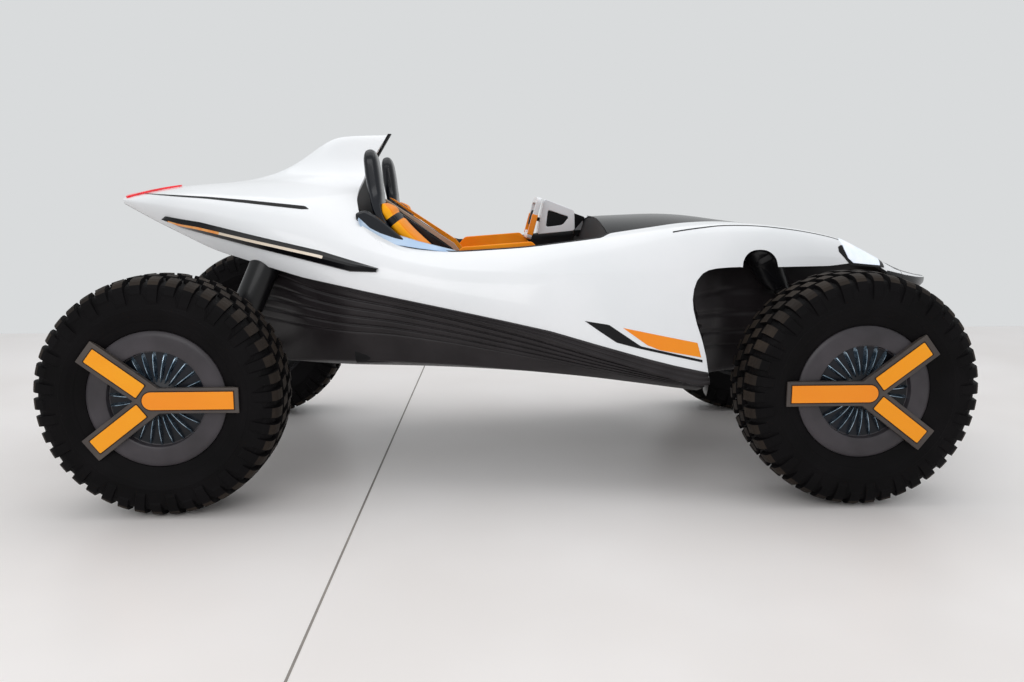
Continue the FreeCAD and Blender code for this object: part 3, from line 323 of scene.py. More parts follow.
# %% Guide lines
CROWN_TAIL = batten((
    (-1.236, 0.831), (-1.147, 0.847), (-1.028, 0.857), (-0.894, 0.865), (-0.767, 0.872),
    (-0.655, 0.876), (-0.477, 0.879), (-0.358, 0.879),
), BODY_HEIGHT)
FIN = batten((
    (-1.236, 0.000), (-1.043, 0.000), (-0.953, 0.001), (-0.869, 0.006), (-0.783, 0.023),
    (-0.714, 0.052), (-0.644, 0.096), (-0.591, 0.125), (-0.521, 0.128), (-0.358, 0.130),
), BODY_HEIGHT, 0.035)
CROWN_FRONT = batten((
    (-0.462, 0.712), (0.000, 0.723), (0.299, 0.757), (0.518, 0.765), (0.614, 0.761),
    (0.710, 0.747), (0.894, 0.724), (1.043, 0.693), (1.162, 0.652), (1.266, 0.614),
    (1.378, 0.584), (1.447, 0.573),
), BODY_HEIGHT)
SHOULDER_Y = batten((
    (-1.236, 0.366), (-1.028, 0.568), (-0.767, 0.664), (-0.477, 0.726), (-0.186, 0.766),
    (0.261, 0.789), (0.521, 0.779), (0.745, 0.732), (0.968, 0.662), (1.162, 0.563),
    (1.266, 0.482), (1.378, 0.358), (1.447, 0.197),
), BODY_HALF)
SHOULDER_Z = batten((
    (-1.236, 0.816), (-1.028, 0.824), (-0.767, 0.805), (-0.596, 0.780), (-0.462, 0.732),
    (-0.335, 0.674), (-0.188, 0.655), (0.053, 0.667), (0.264, 0.689), (0.510, 0.728),
    (0.670, 0.742), (0.779, 0.740), (0.908, 0.726), (1.038, 0.703), (1.155, 0.652),
    (1.266, 0.603), (1.378, 0.578), (1.447, 0.569),
), BODY_HEIGHT)
WIDE_Y = batten((
    (-1.236, 0.374), (-1.028, 0.579), (-0.767, 0.743), (-0.477, 0.842), (-0.186, 0.875),
    (0.261, 0.897), (0.447, 0.900), (0.596, 0.879), (0.745, 0.808), (0.968, 0.721),
    (1.162, 0.608), (1.266, 0.521), (1.378, 0.379), (1.447, 0.204),
), BODY_HALF)
WIDE_Z = batten((
    (-1.236, 0.807), (-1.028, 0.765), (-0.767, 0.709), (-0.477, 0.651), (-0.186, 0.593),
    (0.149, 0.559), (0.447, 0.541), (0.596, 0.546), (0.745, 0.573), (0.894, 0.597),
    (1.043, 0.602), (1.162, 0.591), (1.266, 0.578), (1.378, 0.565), (1.447, 0.563),
), BODY_HEIGHT)
LOW_Y = batten((
    (-1.236, 0.353), (-1.028, 0.489), (-0.767, 0.695), (-0.477, 0.858), (-0.186, 0.889),
    (0.149, 0.926), (0.447, 0.982), (0.574, 1.003), (0.745, 0.842), (0.894, 0.757),
    (1.162, 0.618), (1.266, 0.520), (1.378, 0.368), (1.447, 0.197),
), BODY_HALF)
LOW_Z = batten((
    (-1.236, 0.797), (-1.121, 0.746), (-0.930, 0.671), (-0.767, 0.632), (-0.638, 0.600),
    (-0.401, 0.544), (-0.220, 0.505), (0.050, 0.448), (0.232, 0.391), (0.416, 0.340),
    (0.571, 0.302), (0.670, 0.339), (0.819, 0.420), (1.043, 0.475), (1.162, 0.522),
    (1.266, 0.539), (1.378, 0.537), (1.447, 0.551),
), BODY_HEIGHT)
UNDER_Z = batten((
    (-1.236, 0.793), (-1.028, 0.690), (-0.767, 0.614), (-0.477, 0.542), (-0.186, 0.475),
    (0.037, 0.420), (0.261, 0.359), (0.447, 0.312), (0.596, 0.298), (0.745, 0.366),
    (1.043, 0.447), (1.162, 0.495), (1.266, 0.522), (1.378, 0.532), (1.447, 0.545),
), BODY_HEIGHT)
print("crown over the cockpit's rear", round(float(CROWN_TAIL(-0.64)), 3), "m")

# %% [markdown]
# One formula gives every point of the white body. The second parameter, s, runs from 0
# on the crown to 1 on the shoulder and 2 on the lower edge. Above the shoulder the
# section falls with a power of s, and the fin is a sharp bell on top. Below it, a
# parabola passes through the shoulder, the widest line and the lower edge. A short
# Bezier arc rounds the shoulder.

# %% Body surface
CROWN_POWER = 2.2
FIN_WIDTH, FIN_POWER = 0.125, 1.5
SHOULDER_SOFT = 0.10
FLANK_SOFT = 0.30
FLANK_LINES = ((SHOULDER_Y, SHOULDER_Z), (WIDE_Y, WIDE_Z), (LOW_Y, LOW_Z))


def deck(x, s, crown, fin):
    """Crown part: y grows with s; z falls by s to a power, plus the fin's bell."""
    z = crown(x) - (crown(x) - SHOULDER_Z(x)) * s ** CROWN_POWER
    z = z + fin * FIN(x) * np.exp(-(s / FIN_WIDTH) ** FIN_POWER)
    return xyz(x, s * SHOULDER_Y(x), z)


def flank(x, s):
    """Flank part: parabola through shoulder, widest and lower guide lines."""
    u = (s - 1)[..., None]
    top, wide, low = (xyz(x, across(x), up(x)) for across, up in FLANK_LINES)
    return top * (1 - u) * (1 - 2 * u) + wide * 4 * u * (1 - u) + low * u * (2 * u - 1)


def body_at(x, s, crown=CROWN_FRONT, fin=0.0):
    """Point of the body: deck, flank, and a Bezier arc across the shoulder between."""
    x, s = np.broadcast_arrays(np.asarray(x, float), np.asarray(s, float))
    above = deck(x, np.clip(s, 0, 1), crown, fin)
    below = flank(x, np.clip(s, 1, 2))
    start = deck(x, np.full_like(s, 1 - SHOULDER_SOFT), crown, fin)
    corner = flank(x, np.ones_like(s))
    end = flank(x, np.full_like(s, 1 + FLANK_SOFT))
    first = s < 1
    t = np.where(first, (s - 1) / SHOULDER_SOFT + 1, (s - 1) / FLANK_SOFT + 1) / 2
    t = np.clip(t, 0, 1)[..., None]
    inside = (s > 1 - SHOULDER_SOFT) & (s < 1 + FLANK_SOFT)
    plain = np.where(first[..., None], above, below)
    return np.where(inside[..., None], bezier(start, corner, end, t), plain)


def tail_at(x, s):
    """Point of the tail: the body with the tail's crown and the fin."""
    return body_at(x, s, CROWN_TAIL, 1.0)


print("shoulder at mid-car", np.round(body_at(0.0, 1.0), 3))

# %% [markdown]
# The tail deck is one moulding: it is symmetric, so the grid runs from the left lower
# edge over the fin to the right lower edge. Its front edge leans forward with the fin.
# The edge is found by settling: guess x, read the height there, and take the x that the
# edge has at that height, again and again.

# %% Tail deck
TAIL_REAR_X = -1.236 * HALF_BASE
PANEL_WALL = 0.014
TAIL_FRONT_SHARES = (
    (-0.408, 1.012), (-0.478, 0.906), (-0.484, 0.815), (-0.450, 0.725), (-0.388, 0.690),
    (-0.388, 0.200),
)


def tail_front_x(s, surface):
    """x of the front edge on each line of the grid, by repeated reading of its height."""
    edge = np.array(TAIL_FRONT_SHARES)[::-1] * np.array([HALF_BASE, BODY_HEIGHT])
    fine = np.linspace(edge[0, 1], edge[-1, 1], 400)
    run = softened(np.interp(fine, edge[:, 1], edge[:, 0]), 25)
    x = np.full_like(s, -0.6)
    for _ in range(30):
        x = 0.5 * x + 0.5 * np.interp(surface(x, s)[..., 2], fine, run)
    return x


def spaced(stops, counts):
    """Numbers through the stops with a set count of steps in each gap."""
    runs = [np.linspace(a, b, n, endpoint=False) for a, b, n in zip(stops, stops[1:], counts)]
    return np.r_[np.concatenate(runs), stops[-1]]


HALF_S = spaced((0, 0.05, 0.3, 0.88, 1.32, 2.0), (8, 16, 12, 14, 14))
TAIL_S = np.r_[-HALF_S[:0:-1], HALF_S]


def tail_skin():
    """White upper moulding of the tail with the fin, from the lamp end to the cockpit."""
    along = spaced((0, 0.55, 1), (44, 56))[:, None]
    front = tail_front_x(np.abs(TAIL_S), tail_at)[None, :]
    x = TAIL_REAR_X + (front - TAIL_REAR_X) * along
    points = tail_at(x, np.abs(TAIL_S))
    points[..., 1] *= np.sign(TAIL_S)
    made = sheet("tail_deck_skin", points, [WHITE_ENAMEL, TRIM_BLACK], "white_paint", flip=True)
    walled(made, PANEL_WALL, inner_material=1)
    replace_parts(made, "tail_deck")
    return points


TAIL_POINTS = tail_skin()
print("tail deck", TAIL_POINTS.shape, "fin top", round(float(TAIL_POINTS[..., 2].max()), 3))

# %% [markdown]
# Under the tail a dark tray closes the moulding. It is ruled between the two lower edges
# and sags a little in the middle, like a hull.

# %% Tail tray and bulkhead
TRAY_COLUMNS = 25
BULKHEAD_X, BULKHEAD_HALF, BULKHEAD_FOOT_Z = -0.655, 0.545, 0.54


def tail_tray():
    """Dark underside: a parabola between the lower edges at each x."""
    edge = TAIL_POINTS[:, -1, :]
    across = np.linspace(-1, 1, TRAY_COLUMNS)
    middle = UNDER_Z(edge[:, 0])[:, None]
    z = middle + (edge[:, 2][:, None] - middle) * across ** 2 - 0.001
    points = xyz(edge[:, :1], edge[:, 1:2] * across, z)
    sheet("tail_tray", points, HULL_COMPOSITE, "hull_black")
    nearest = np.linspace(0, TRAY_COLUMNS - 1, TAIL_POINTS.shape[1]).astype(int)
    sheet("tail_end_wall", np.array([TAIL_POINTS[0], points[0][nearest]]), WHITE_ENAMEL, "white_paint")


def bulkhead():
    """Dark wall behind the seats, from the floor up to the tail's skin."""
    y = np.linspace(-BULKHEAD_HALF, BULKHEAD_HALF, 61)
    x = np.full_like(y, BULKHEAD_X)
    top = tail_at(x, np.abs(y) / SHOULDER_Y(x))[:, 2] - 0.012
    rise = np.linspace(0, 1, 12)[:, None]
    z = BULKHEAD_FOOT_Z + (top - BULKHEAD_FOOT_Z) * rise
    points = xyz(x, y * (0.78 + 0.22 * np.clip(rise * 4, 0, 1)), z)
    sheet("bulkhead_wall", points, TRIM_BLACK, "black_trim")


tail_tray()
bulkhead()

# %% [markdown]
# Each side panel runs from the tail to the nose. Its upper edge is the cockpit sill and
# then the hood line, and its lower edge drops to the corner in front of the cockpit and
# climbs round the front wheel arch. The grid is ruled between these two edges in the
# (x, s) plane of the body, so that every point still lies on the body surface.

# %% Side panels
COCKPIT_HALF = 0.54
SILL_END_X, SILL_HIGHEST_S = 0.36, 0.985
NOSE_X = 1.290 * HALF_BASE
NOSE_BANDS = (0.30, 0.80, 1.02, 1.27)
HOOD_SHARES = (
    (0.285, 0.660), (0.450, 0.640), (0.700, 0.560), (0.950, 0.430), (1.150, 0.300), (1.290, 0.180),
)
# Corners of the wheel arch's edge as x and z, from its foot up and over the wheel.
ARCH_EDGE = (
    (0.785, 0.475), (0.773, 0.570), (0.759, 0.632), (0.738, 0.700), (0.726, 0.755), (0.724, 0.796),
    (0.731, 0.836), (0.745, 0.870), (0.769, 0.897), (0.795, 0.910), (0.829, 0.917), (0.880, 0.920),
    (0.930, 0.921),
)
HOOD_Y = batten(HOOD_SHARES, BODY_HALF, 0.03)
BELL_NOTCH_X, BELL_NOTCH_HALF, BELL_NOTCH_DEPTH = 1.021, 0.078, 0.071
FENDER_Z = ARCH_EDGE[-1][1]
LAMP_X, NOSE_FALL_X, NOSE_FALL = 1.34, 1.56, 0.55
CORNER_LEAN = 0.28
REAR_STEPS, LEAD_ROWS, TAIL_BLEND = 110, 30, 0.16


def sill_s(x):
    """Upper edge of the panel as s: the cockpit side, then the hood line."""
    blend = np.clip((x - SILL_END_X) / 0.06, 0, 1)
    half = COCKPIT_HALF + (HOOD_Y(x) - COCKPIT_HALF) * blend * blend * (3 - 2 * blend)
    return np.minimum(half / SHOULDER_Y(x), SILL_HIGHEST_S)


def s_at_height(x, z, surface=body_at):
    """s on the flank where the surface at x has the height z, by halving the span."""
    low, high = np.full_like(x, 0.6), np.full_like(x, 2.0)
    for _ in range(30):
        middle = (low + high) / 2
        above = surface(x, middle)[..., 2] > z
        low, high = np.where(above, middle, low), np.where(above, high, middle)
    return (low + high) / 2


def panel_edges():
    """Matching points of the upper and lower edge, as x and s of each."""
    arch = np.array(ARCH_EDGE)
    x_rear = float(tail_front_x(np.array([2.0]), body_at)[0])
    rear_low = np.linspace(x_rear, arch[0, 0], REAR_STEPS)
    rear_top = rear_low - CORNER_LEAN * np.clip((rear_low - 0.10) / 0.685, 0, 1) ** 2
    fine = spaced((0.0, 6.0, 12.0), (24, 20))
    arch_x, arch_z = (np.interp(fine, np.arange(len(arch)), column) for column in arch.T)
    arch_top = rear_top[-1] + (arch[-1, 0] + 0.02 - rear_top[-1]) * (fine / fine[-1]) ** 1.5
    front_x = spaced((arch[-1, 0], 0.940, 1.105, NOSE_X), (2, 60, 97))[1:]
    under = FENDER_Z - 0.003 * np.clip((front_x - arch[-1, 0]) / 0.02, 0, 1)
    under = under + 0.008 * np.clip((front_x - LAMP_X) / 0.1, 0, 1)
    bell = np.abs(front_x - BELL_NOTCH_X) / BELL_NOTCH_HALF
    under = under + BELL_NOTCH_DEPTH * np.sqrt(np.clip(1 - bell ** 2.4, 0, 1))
    under = under - np.clip(front_x - NOSE_FALL_X, 0, 1) * NOSE_FALL
    x_low = np.r_[rear_low, arch_x[1:], front_x]
    s_arch = s_at_height(arch_x[1:], arch_z[1:])
    s_low = np.r_[np.full(REAR_STEPS, 2.0), s_arch, s_at_height(front_x, under)]
    x_top = np.r_[rear_top, arch_top[1:], front_x + 0.02 * np.linspace(1, 0, len(front_x))]
    return x_top, sill_s(x_top), x_low, s_low


def side_skin(name, side):
    """One white side panel, ruled in (x, s) between its edges."""
    x_top, s_top, x_low, s_low = panel_edges()
    v = np.linspace(0, 1, 65)
    x = x_top[:, None] + (x_low - x_top)[:, None] * v
    s = s_top[:, None] + (s_low - s_top)[:, None] * v
    rear = tail_front_x(s[0], tail_at)
    lead = np.clip(1 - np.arange(len(x_top)) / LEAD_ROWS, 0, 1)[:, None] ** 2
    x = x + (rear - x[:1]) * lead
    near = np.clip(1 - (x - rear) / TAIL_BLEND, 0, 1) ** 2
    points = body_at(x, s)
    points = sided(points + (tail_at(x, s) - points) * near[..., None], side)
    made = sheet("side_skin_" + name, points, [WHITE_ENAMEL, TRIM_BLACK], "white_paint", flip=side > 0)
    walled(made, 0.016, rim_material=1, inner_material=1)
    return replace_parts(made, "side_panel_" + name)


for name, side in SIDES:
    side_skin(name, side)
print("side panels from", np.round(panel_edges()[2][[0, -1]], 3))

# %% [markdown]
# The hood and the nose share the body surface. The hood is gloss black; the nose tip is
# white with black edges.

# %% Hood and nose
COWL_X, COWL_FOOT = 0.40, np.array([-0.035, 0.0, 0.985])


def hood_skin():
    """Gloss black hood between the two hood lines, and the cowl's wall under its rear edge."""
    x = np.linspace(COWL_X, NOSE_X, 90)[:, None]
    across = np.linspace(-1, 1, 49)
    points = body_at(x, np.abs(across) * sill_s(x))
    points[..., 1] *= np.sign(across)
    made = sheet("hood_skin", points, [HOOD_BLACK, TRIM_BLACK], "gloss_black", flip=True)
    walled(made, PANEL_WALL, inner_material=1)
    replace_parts(made, "hood")
    top = points[0] - np.array([0.0, 0.0, 0.006])
    foot = top * np.array([1.0, 0.97, 0.0]) + COWL_FOOT
    foot[:, 2] = np.minimum(foot[:, 2], top[:, 2] - 0.01)
    rise = np.linspace(0, 1, 14)[:, None, None]
    sheet("cowl_wall", foot + (top - foot) * rise, TRIM_BLACK, "black_trim")


def nose_skin():
    """Nose tip round to its point: white flanks between black bands."""
    x = np.linspace(NOSE_X + 0.003, 1.447 * HALF_BASE - 0.0085, 40)[:, None]
    half = spaced((0, *NOSE_BANDS, 1.97), (6, 10, 4, 6, 14))
    s = np.r_[-half[:0:-1], half]
    points = body_at(x, np.abs(s))
    points[..., 1] *= np.sign(s)
    tip = points[-1].mean(0) + np.array([0.008, 0, 0])
    points = np.concatenate([points, np.broadcast_to(tip, points[-1:].shape)])
    middle = np.abs(s[:-1] + s[1:]) / 2
    index = np.where(np.digitize(middle, NOSE_BANDS) % 2 == 0, 2, 0)
    made = sheet("nose_skin", points, [WHITE_ENAMEL, TRIM_BLACK, BLACK_ENAMEL], "white_paint", flip=True,
                 index=np.tile(index, len(points) - 1))
    walled(made, 0.007, rim_material=2, inner_material=2)
    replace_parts(made, "nose_blade")


hood_skin()
nose_skin()

# %% [markdown]
# The lower hull is a dark composite tub with raised ridges along its upper flank, which
# stiffen the thin wall. Sections are set by four guide lines: top edge, waist, floor
# edge and keel line.

# %% Hull sections
RIDGE_END, RIDGE_DEPTH = 0.55, 0.009
# Shares of x, then y and z of the top edge, the waist and the floor edge, then the keel's z.
HULL_SECTION_SHARES = np.array((
    (-0.819, 0.520, 0.641, 0.470, 0.488, 0.395, 0.342, 0.325),
    (-0.730, 0.600, 0.637, 0.560, 0.478, 0.480, 0.342, 0.313),
    (-0.641, 0.740, 0.603, 0.700, 0.471, 0.590, 0.353, 0.305),
    (-0.521, 0.829, 0.575, 0.774, 0.458, 0.658, 0.357, 0.298),
    (-0.372, 0.863, 0.546, 0.800, 0.450, 0.695, 0.357, 0.296),
    (-0.186, 0.879, 0.507, 0.816, 0.424, 0.711, 0.348, 0.292),
    (0.037, 0.900, 0.453, 0.834, 0.385, 0.718, 0.329, 0.285),
    (0.261, 0.932, 0.388, 0.858, 0.343, 0.737, 0.308, 0.273),
    (0.447, 0.971, 0.340, 0.908, 0.313, 0.763, 0.287, 0.262),
    (0.574, 0.987, 0.313, 0.928, 0.296, 0.789, 0.273, 0.255),
))
KEEL_SECTION_SHARES = np.array((
    (0.551, 0.780, 0.600, 0.740, 0.407, 0.680, 0.285, 0.265),
    (0.603, 0.700, 0.610, 0.650, 0.400, 0.560, 0.288, 0.265),
    (0.663, 0.580, 0.620, 0.540, 0.393, 0.450, 0.291, 0.268),
    (0.730, 0.530, 0.625, 0.500, 0.390, 0.420, 0.295, 0.272),
    (0.857, 0.510, 0.625, 0.485, 0.393, 0.400, 0.302, 0.279),
    (1.006, 0.495, 0.622, 0.470, 0.400, 0.382, 0.312, 0.289),
    (1.117, 0.475, 0.620, 0.445, 0.420, 0.355, 0.349, 0.326),
    (1.207, 0.425, 0.610, 0.390, 0.468, 0.305, 0.417, 0.397),
    (1.296, 0.345, 0.590, 0.315, 0.502, 0.245, 0.471, 0.455),
    (1.385, 0.220, 0.572, 0.205, 0.530, 0.160, 0.512, 0.499),
))


def section_lines(rows, soft):
    """Top edge, waist, floor edge and keel line as functions of x."""
    scales = (BODY_HALF, BODY_HEIGHT) * 3 + (BODY_HEIGHT,)
    return [batten(rows[:, [0, k + 1]], scale, soft) for k, scale in enumerate(scales)]


def hull_at(x, q, lines):
    """Half section: Bezier from the top edge by the waist to the floor edge for q 0 to 1,
    then a parabola to the keel line for q 1 to 2."""
    y1, z1, y2, z2, y3, z3, keel = (line(x) for line in lines)
    u = np.clip(q, 0, 1)
    side_y = bezier(y1, 2 * y2 - (y1 + y3) / 2, y3, u)
    side_z = bezier(z1, 2 * z2 - (z1 + z3) / 2, z3, u)
    v = np.clip(2 - q, 0, 1)
    floor_z = keel + (z3 - keel) * v ** 2
    on_side = q <= 1
    return xyz(x, np.where(on_side, side_y, y3 * v), np.where(on_side, side_z, floor_z))


def ridged(points, q, count):
    """Push points in by a row of rounded grooves in the upper part of the flank."""
    phase = np.clip(q / RIDGE_END, 0, 1) * count
    wave = np.clip(np.abs(np.sin(np.pi * phase)) * 1.6, 0, 1) * (q < RIDGE_END)
    inward = np.zeros_like(points)
    inward[..., 1] = -np.sign(points[..., 1]) * RIDGE_DEPTH * (1 - wave) * (q < RIDGE_END) * (q > 0.02)
    return points + inward


def closed_rows(points):
    """Add a middle point row at each end, so that the form is closed."""
    ends = [np.broadcast_to(points[k].mean(0), points[k].shape)[None] for k in (0, -1)]
    return np.concatenate([ends[0], points, ends[1]])


def hull_skin(name, sections, soft, rows, ridges):
    """Both flanks and the floor of a hull length in one grid."""
    half = spaced((0, RIDGE_END, 1.0, 2.0), (60, 16, 14))
    q = np.r_[half, 4 - half[-2::-1]]
    x = np.linspace(*sections[[0, -1], 0] * HALF_BASE, rows)[:, None]
    folded = np.where(q <= 2, q, 4 - q)
    points = hull_at(x, folded, section_lines(sections, soft))
    points[..., 1] *= np.where(q <= 2, -1, 1)
    points = closed_rows(ridged(points, folded, ridges))
    return sheet(name, points, HULL_COMPOSITE, "hull_black", flip=True)


hull_skin("hull_skin", HULL_SECTION_SHARES, 0.05, 120, 5)
made = hull_skin("keel_skin", KEEL_SECTION_SHARES, 0.03, 70, 4)
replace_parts(made, "lower_hull")

# %% [markdown]
# The tyres are mud-terrain: tall blocks in staggered rows, with alternately long and
# short lugs over the shoulder. Painting such a tread as bump would leave a round outline,
# so the grid itself is bent: its columns are pinned to the walls of the lugs, eight per
# lug, and its rows to the edges of the block rows.

# %% Tyre grid
LUGS = 42
LUG_HEIGHT = 0.017
COLUMN_PHASE = np.array([-0.20, -0.155, -0.11, 0.00, 0.18, 0.36, 0.47, 0.515])
COLUMN_LIFT = np.array([0.0, 0.0, 1.0, 1.0, 1.0, 1.0, 1.0, 0.0])
# Half a tyre's rows from the middle of the tread to the bead: y and the carcass radius.
TYRE_PROFILE = (
    (0.000, 0.4425), (0.006, 0.4425), (0.009, 0.4425), (0.030, 0.4422), (0.052, 0.4415), (0.060, 0.4410),
    (0.063, 0.4405), (0.073, 0.4400), (0.076, 0.4395), (0.095, 0.4375), (0.115, 0.4335), (0.126, 0.4285),
    (0.1345, 0.4210), (0.1400, 0.4120), (0.1445, 0.4010), (0.1475, 0.3910), (0.1490, 0.3840),
    (0.1505, 0.3600), (0.1515, 0.3460), (0.1530, 0.3430), (0.1480, 0.3250), (0.1400, 0.3080),
    (0.1370, 0.3000), (0.1340, 0.2950), (0.1300, 0.2840), (0.1250, 0.2720), (0.1200, 0.2610),
    (0.1000, 0.2560),
)
# Share of the lug height, phase shift in lugs, and a long lug's extra reach in metres. The
# rows beyond the last one here have no tread.
TREAD = (
    (0, 0.62, 0), (0, 0.60, 0), (1, 0.56, 0), (1, 0.48, 0), (1, 0.40, 0), (1, 0.38, 0),
    (0, 0.34, 0), (0, 0.06, 0), (1, 0.04, 0), (1, 0.01, 0), (1, 0, 0), (1, 0, 0),
    (0.95, 0, 0), (0.80, 0, 0), (0.62, 0, 0.010), (0.50, 0, 0.020), (0.02, 0, 0.024), (0, 0, 0.004),
)
TYRE_ROWS = np.zeros((len(TYRE_PROFILE), 5))
TYRE_ROWS[:, :2], TYRE_ROWS[:len(TREAD), 2:] = TYRE_PROFILE, TREAD


def tyre_points():
    """Grid round the wheel axis: columns at lug walls, rows at block edges.

    Radius and y are the carcass row plus the lug height along the row's outward
    normal; the angle is the column's phase plus the row's own shift."""
    rows = np.concatenate([TYRE_ROWS[::-1], TYRE_ROWS[1:] * np.array([-1, 1, 1, 1, 1])])
    side = np.where(np.arange(len(rows)) < len(TYRE_ROWS), 1.0, -1.0)[:, None]
    edge = np.gradient(rows[:, :2], axis=0)
    normal = unit(np.stack([edge[:, 1], -edge[:, 0]], 1))
    middle, carcass, share, shift, slide = rows.T[..., None]
    lug = np.arange(LUGS)
    phase = (lug[:, None] + COLUMN_PHASE).ravel()
    reach = np.repeat(np.where(lug % 2 == 0, 1.0, -0.4), len(COLUMN_PHASE))
    angle = (phase + (shift * side + 0.25 * (1 - side))) * 2 * np.pi / LUGS
    height = LUG_HEIGHT * share * np.tile(COLUMN_LIFT, LUGS)
    radius = carcass + height * normal[:, 1:] - slide * reach
    y = middle + height * normal[:, :1] * 0.55
    return xyz(radius * np.cos(angle), y, radius * np.sin(angle))


def block_faces():
    """1 for each face on top of a tread block, which takes the brown of dust and painted light, 0 for grooves and
    walls.
    """
    rows = np.concatenate([TYRE_ROWS[::-1, 2], TYRE_ROWS[1:, 2]])
    raised_row = (rows[:-1] > 0.9) & (rows[1:] > 0.9)
    lift = np.tile(COLUMN_LIFT, LUGS)
    raised_column = (lift > 0.5) & (np.roll(lift, -1) > 0.5)
    return (raised_row[:, None] & raised_column[None, :]).astype(int).ravel()


TYRE_SHAPE = tyre_points()
reach = np.linalg.norm(TYRE_SHAPE[..., [0, 2]], axis=-1).max()
TYRE_SHAPE[..., [0, 2]] *= TYRE_R / reach
print("tyre grid", TYRE_SHAPE.shape, "half width", round(float(np.abs(TYRE_SHAPE[..., 1]).max()), 4))

# %% Tyres
RUBBER = moulded("black tyre rubber", "#070607", "#0D0B0D", 0.62, 1.2, 0.12, 0.10)
# Block tops are partly dust and partly painted light: they are coloured lighter and browner than the grooves, as
# if lit.
BLOCK_DUST_AND_SHEEN = moulded("dusty brown block rubber", "#1D1713", "#2E261F", 0.7, 3.0, 0.3, 0.2)
CORNERS = (("front_right", 1, -1), ("front_left", 1, 1), ("rear_right", -1, -1), ("rear_left", -1, 1))


def wheel_place(points, end, side):
    """Carry a left-hand wheel piece from its centre to a corner."""
    return sided(points, side, HUB_Y) + np.array([end * HALF_BASE, 0, TYRE_R])


for corner, end, side in CORNERS:
    made = sheet("tyre_tread_" + corner, wheel_place(TYRE_SHAPE, end, side), [RUBBER, BLOCK_DUST_AND_SHEEN],
                 "tyre_rubber", side > 0, True, body="wheel_" + corner, smooth=False, index=block_faces())
    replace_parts(made, "tyre_" + corner)

# %% [markdown]
# Fittings are closed forms: turned, extruded or carried along a line. `joined` puts
# several grids in one mesh, `sealed` merges their seams and turns the faces outwards,
# `bar_grid` turns a profile about any line, and `plate` carries outlines sideways. Its
# narrow bevel then catches the light, as a real moulded or cut edge does.

# %% Closed forms
def joined(parts):
    """One set of points, faces and material numbers from several (points, faces, number)."""
    sizes = [np.asarray(points).size // 3 for points, _, _ in parts]
    starts = np.cumsum([0] + sizes[:-1])
    points = np.concatenate([np.reshape(points, (-1, 3)) for points, _, _ in parts])
    faces = np.concatenate([faces + start for (_, faces, _), start in zip(parts, starts)])
    return points, faces, np.concatenate([np.broadcast_to(number, len(faces)) for _, faces, number in parts])


def sealed(made):
    """Merge points that coincide and turn every face outwards."""
    work = bmesh.new()
    work.from_mesh(made.data)
    bmesh.ops.remove_doubles(work, verts=work.verts, dist=1e-5)
    bmesh.ops.recalc_face_normals(work, faces=work.faces)
    work.to_mesh(made.data)
    work.free()
    return made


def bevelled(made, width, segments=2):
    """Round the edges that turn by more than 35 degrees."""
    edge = made.modifiers.new("edge", "BEVEL")
    edge.width, edge.segments, edge.angle_limit = width, segments, math.radians(35)
    edge.limit_method = "ANGLE"
    return made


def bar_grid(start, end, profile, sides=28):
    """Turned bar: rows of (distance from the start, radius) about the line to the end."""
    start, end = np.array(start, float), np.array(end, float)
    axis = unit(end - start)
    side = unit(np.cross(axis, [0.31, 0.17, 1.0]))
    turn = turns(sides)[:, None]
    ring = side * np.cos(turn) + np.cross(axis, side) * np.sin(turn)
    distance, radius = np.array(profile, float).T[..., None, None]
    return start + axis * distance + ring * radius, grid_faces(len(profile), sides, wrap_cols=True)


def rounded(outline, radius, steps=5):
    """Each corner of an outline becomes a Bezier arc that starts and ends a radius away."""
    corner = np.array(outline, float)
    start, end = (corner + unit(np.roll(corner, step, 0) - corner) * radius for step in (1, -1))
    t = np.linspace(0, 1, steps)[:, None]
    return bezier(start[:, None], corner[:, None], end[:, None], t).reshape(-1, 2)


def slabs(outlines, y0, y1):
    """Closed flat plates: a many-sided face each side and a wall of quads round each."""
    points, faces, start = [], [], 0
    for outline in (np.asarray(line, float) for line in outlines):
        count = len(outline)
        middle, end = start + count, start + 2 * count
        points += [xyz(outline[:, 0], y, outline[:, 1]) for y in (y0, y1)]
        faces += (grid_faces(2, count, wrap_cols=True) + start).tolist()
        faces += [list(range(start, middle)), list(range(end - 1, middle - 1, -1))]
        start = end
    return np.concatenate(points), faces


def plate(name, outlines, span, finish, slot, edge, segments=2, body="body", place=np.asarray,
          numbers=None):
    """Plates across a span of y, bevelled, with one material number for each outline."""
    points, faces = slabs(outlines, *span)
    index = None if numbers is None else np.repeat(numbers, [len(line) + 2 for line in outlines])
    made = sealed(piece(name, place(points), faces, finish, slot, body, False, index))
    return bevelled(made, edge, segments) if edge else made


def shade_by_angle(made, degrees=38):
    """Smooth shading with sharp creases where faces turn by more than the angle."""
    made.data.set_sharp_from_angle(angle=math.radians(degrees))
    return made


def framed(outer, inner, y0, y1):
    """Closed frame: outer and inner outlines with as many points each, at y0 and y1."""
    rows = np.stack([outer, outer, inner, inner])
    y = np.array([y0, y1, y1, y0])[:, None, None]
    points = np.concatenate([rows[..., :1], np.broadcast_to(y, rows[..., :1].shape), rows[..., 1:]], -1)
    return points, grid_faces(4, len(outer), wrap_rows=True, wrap_cols=True)
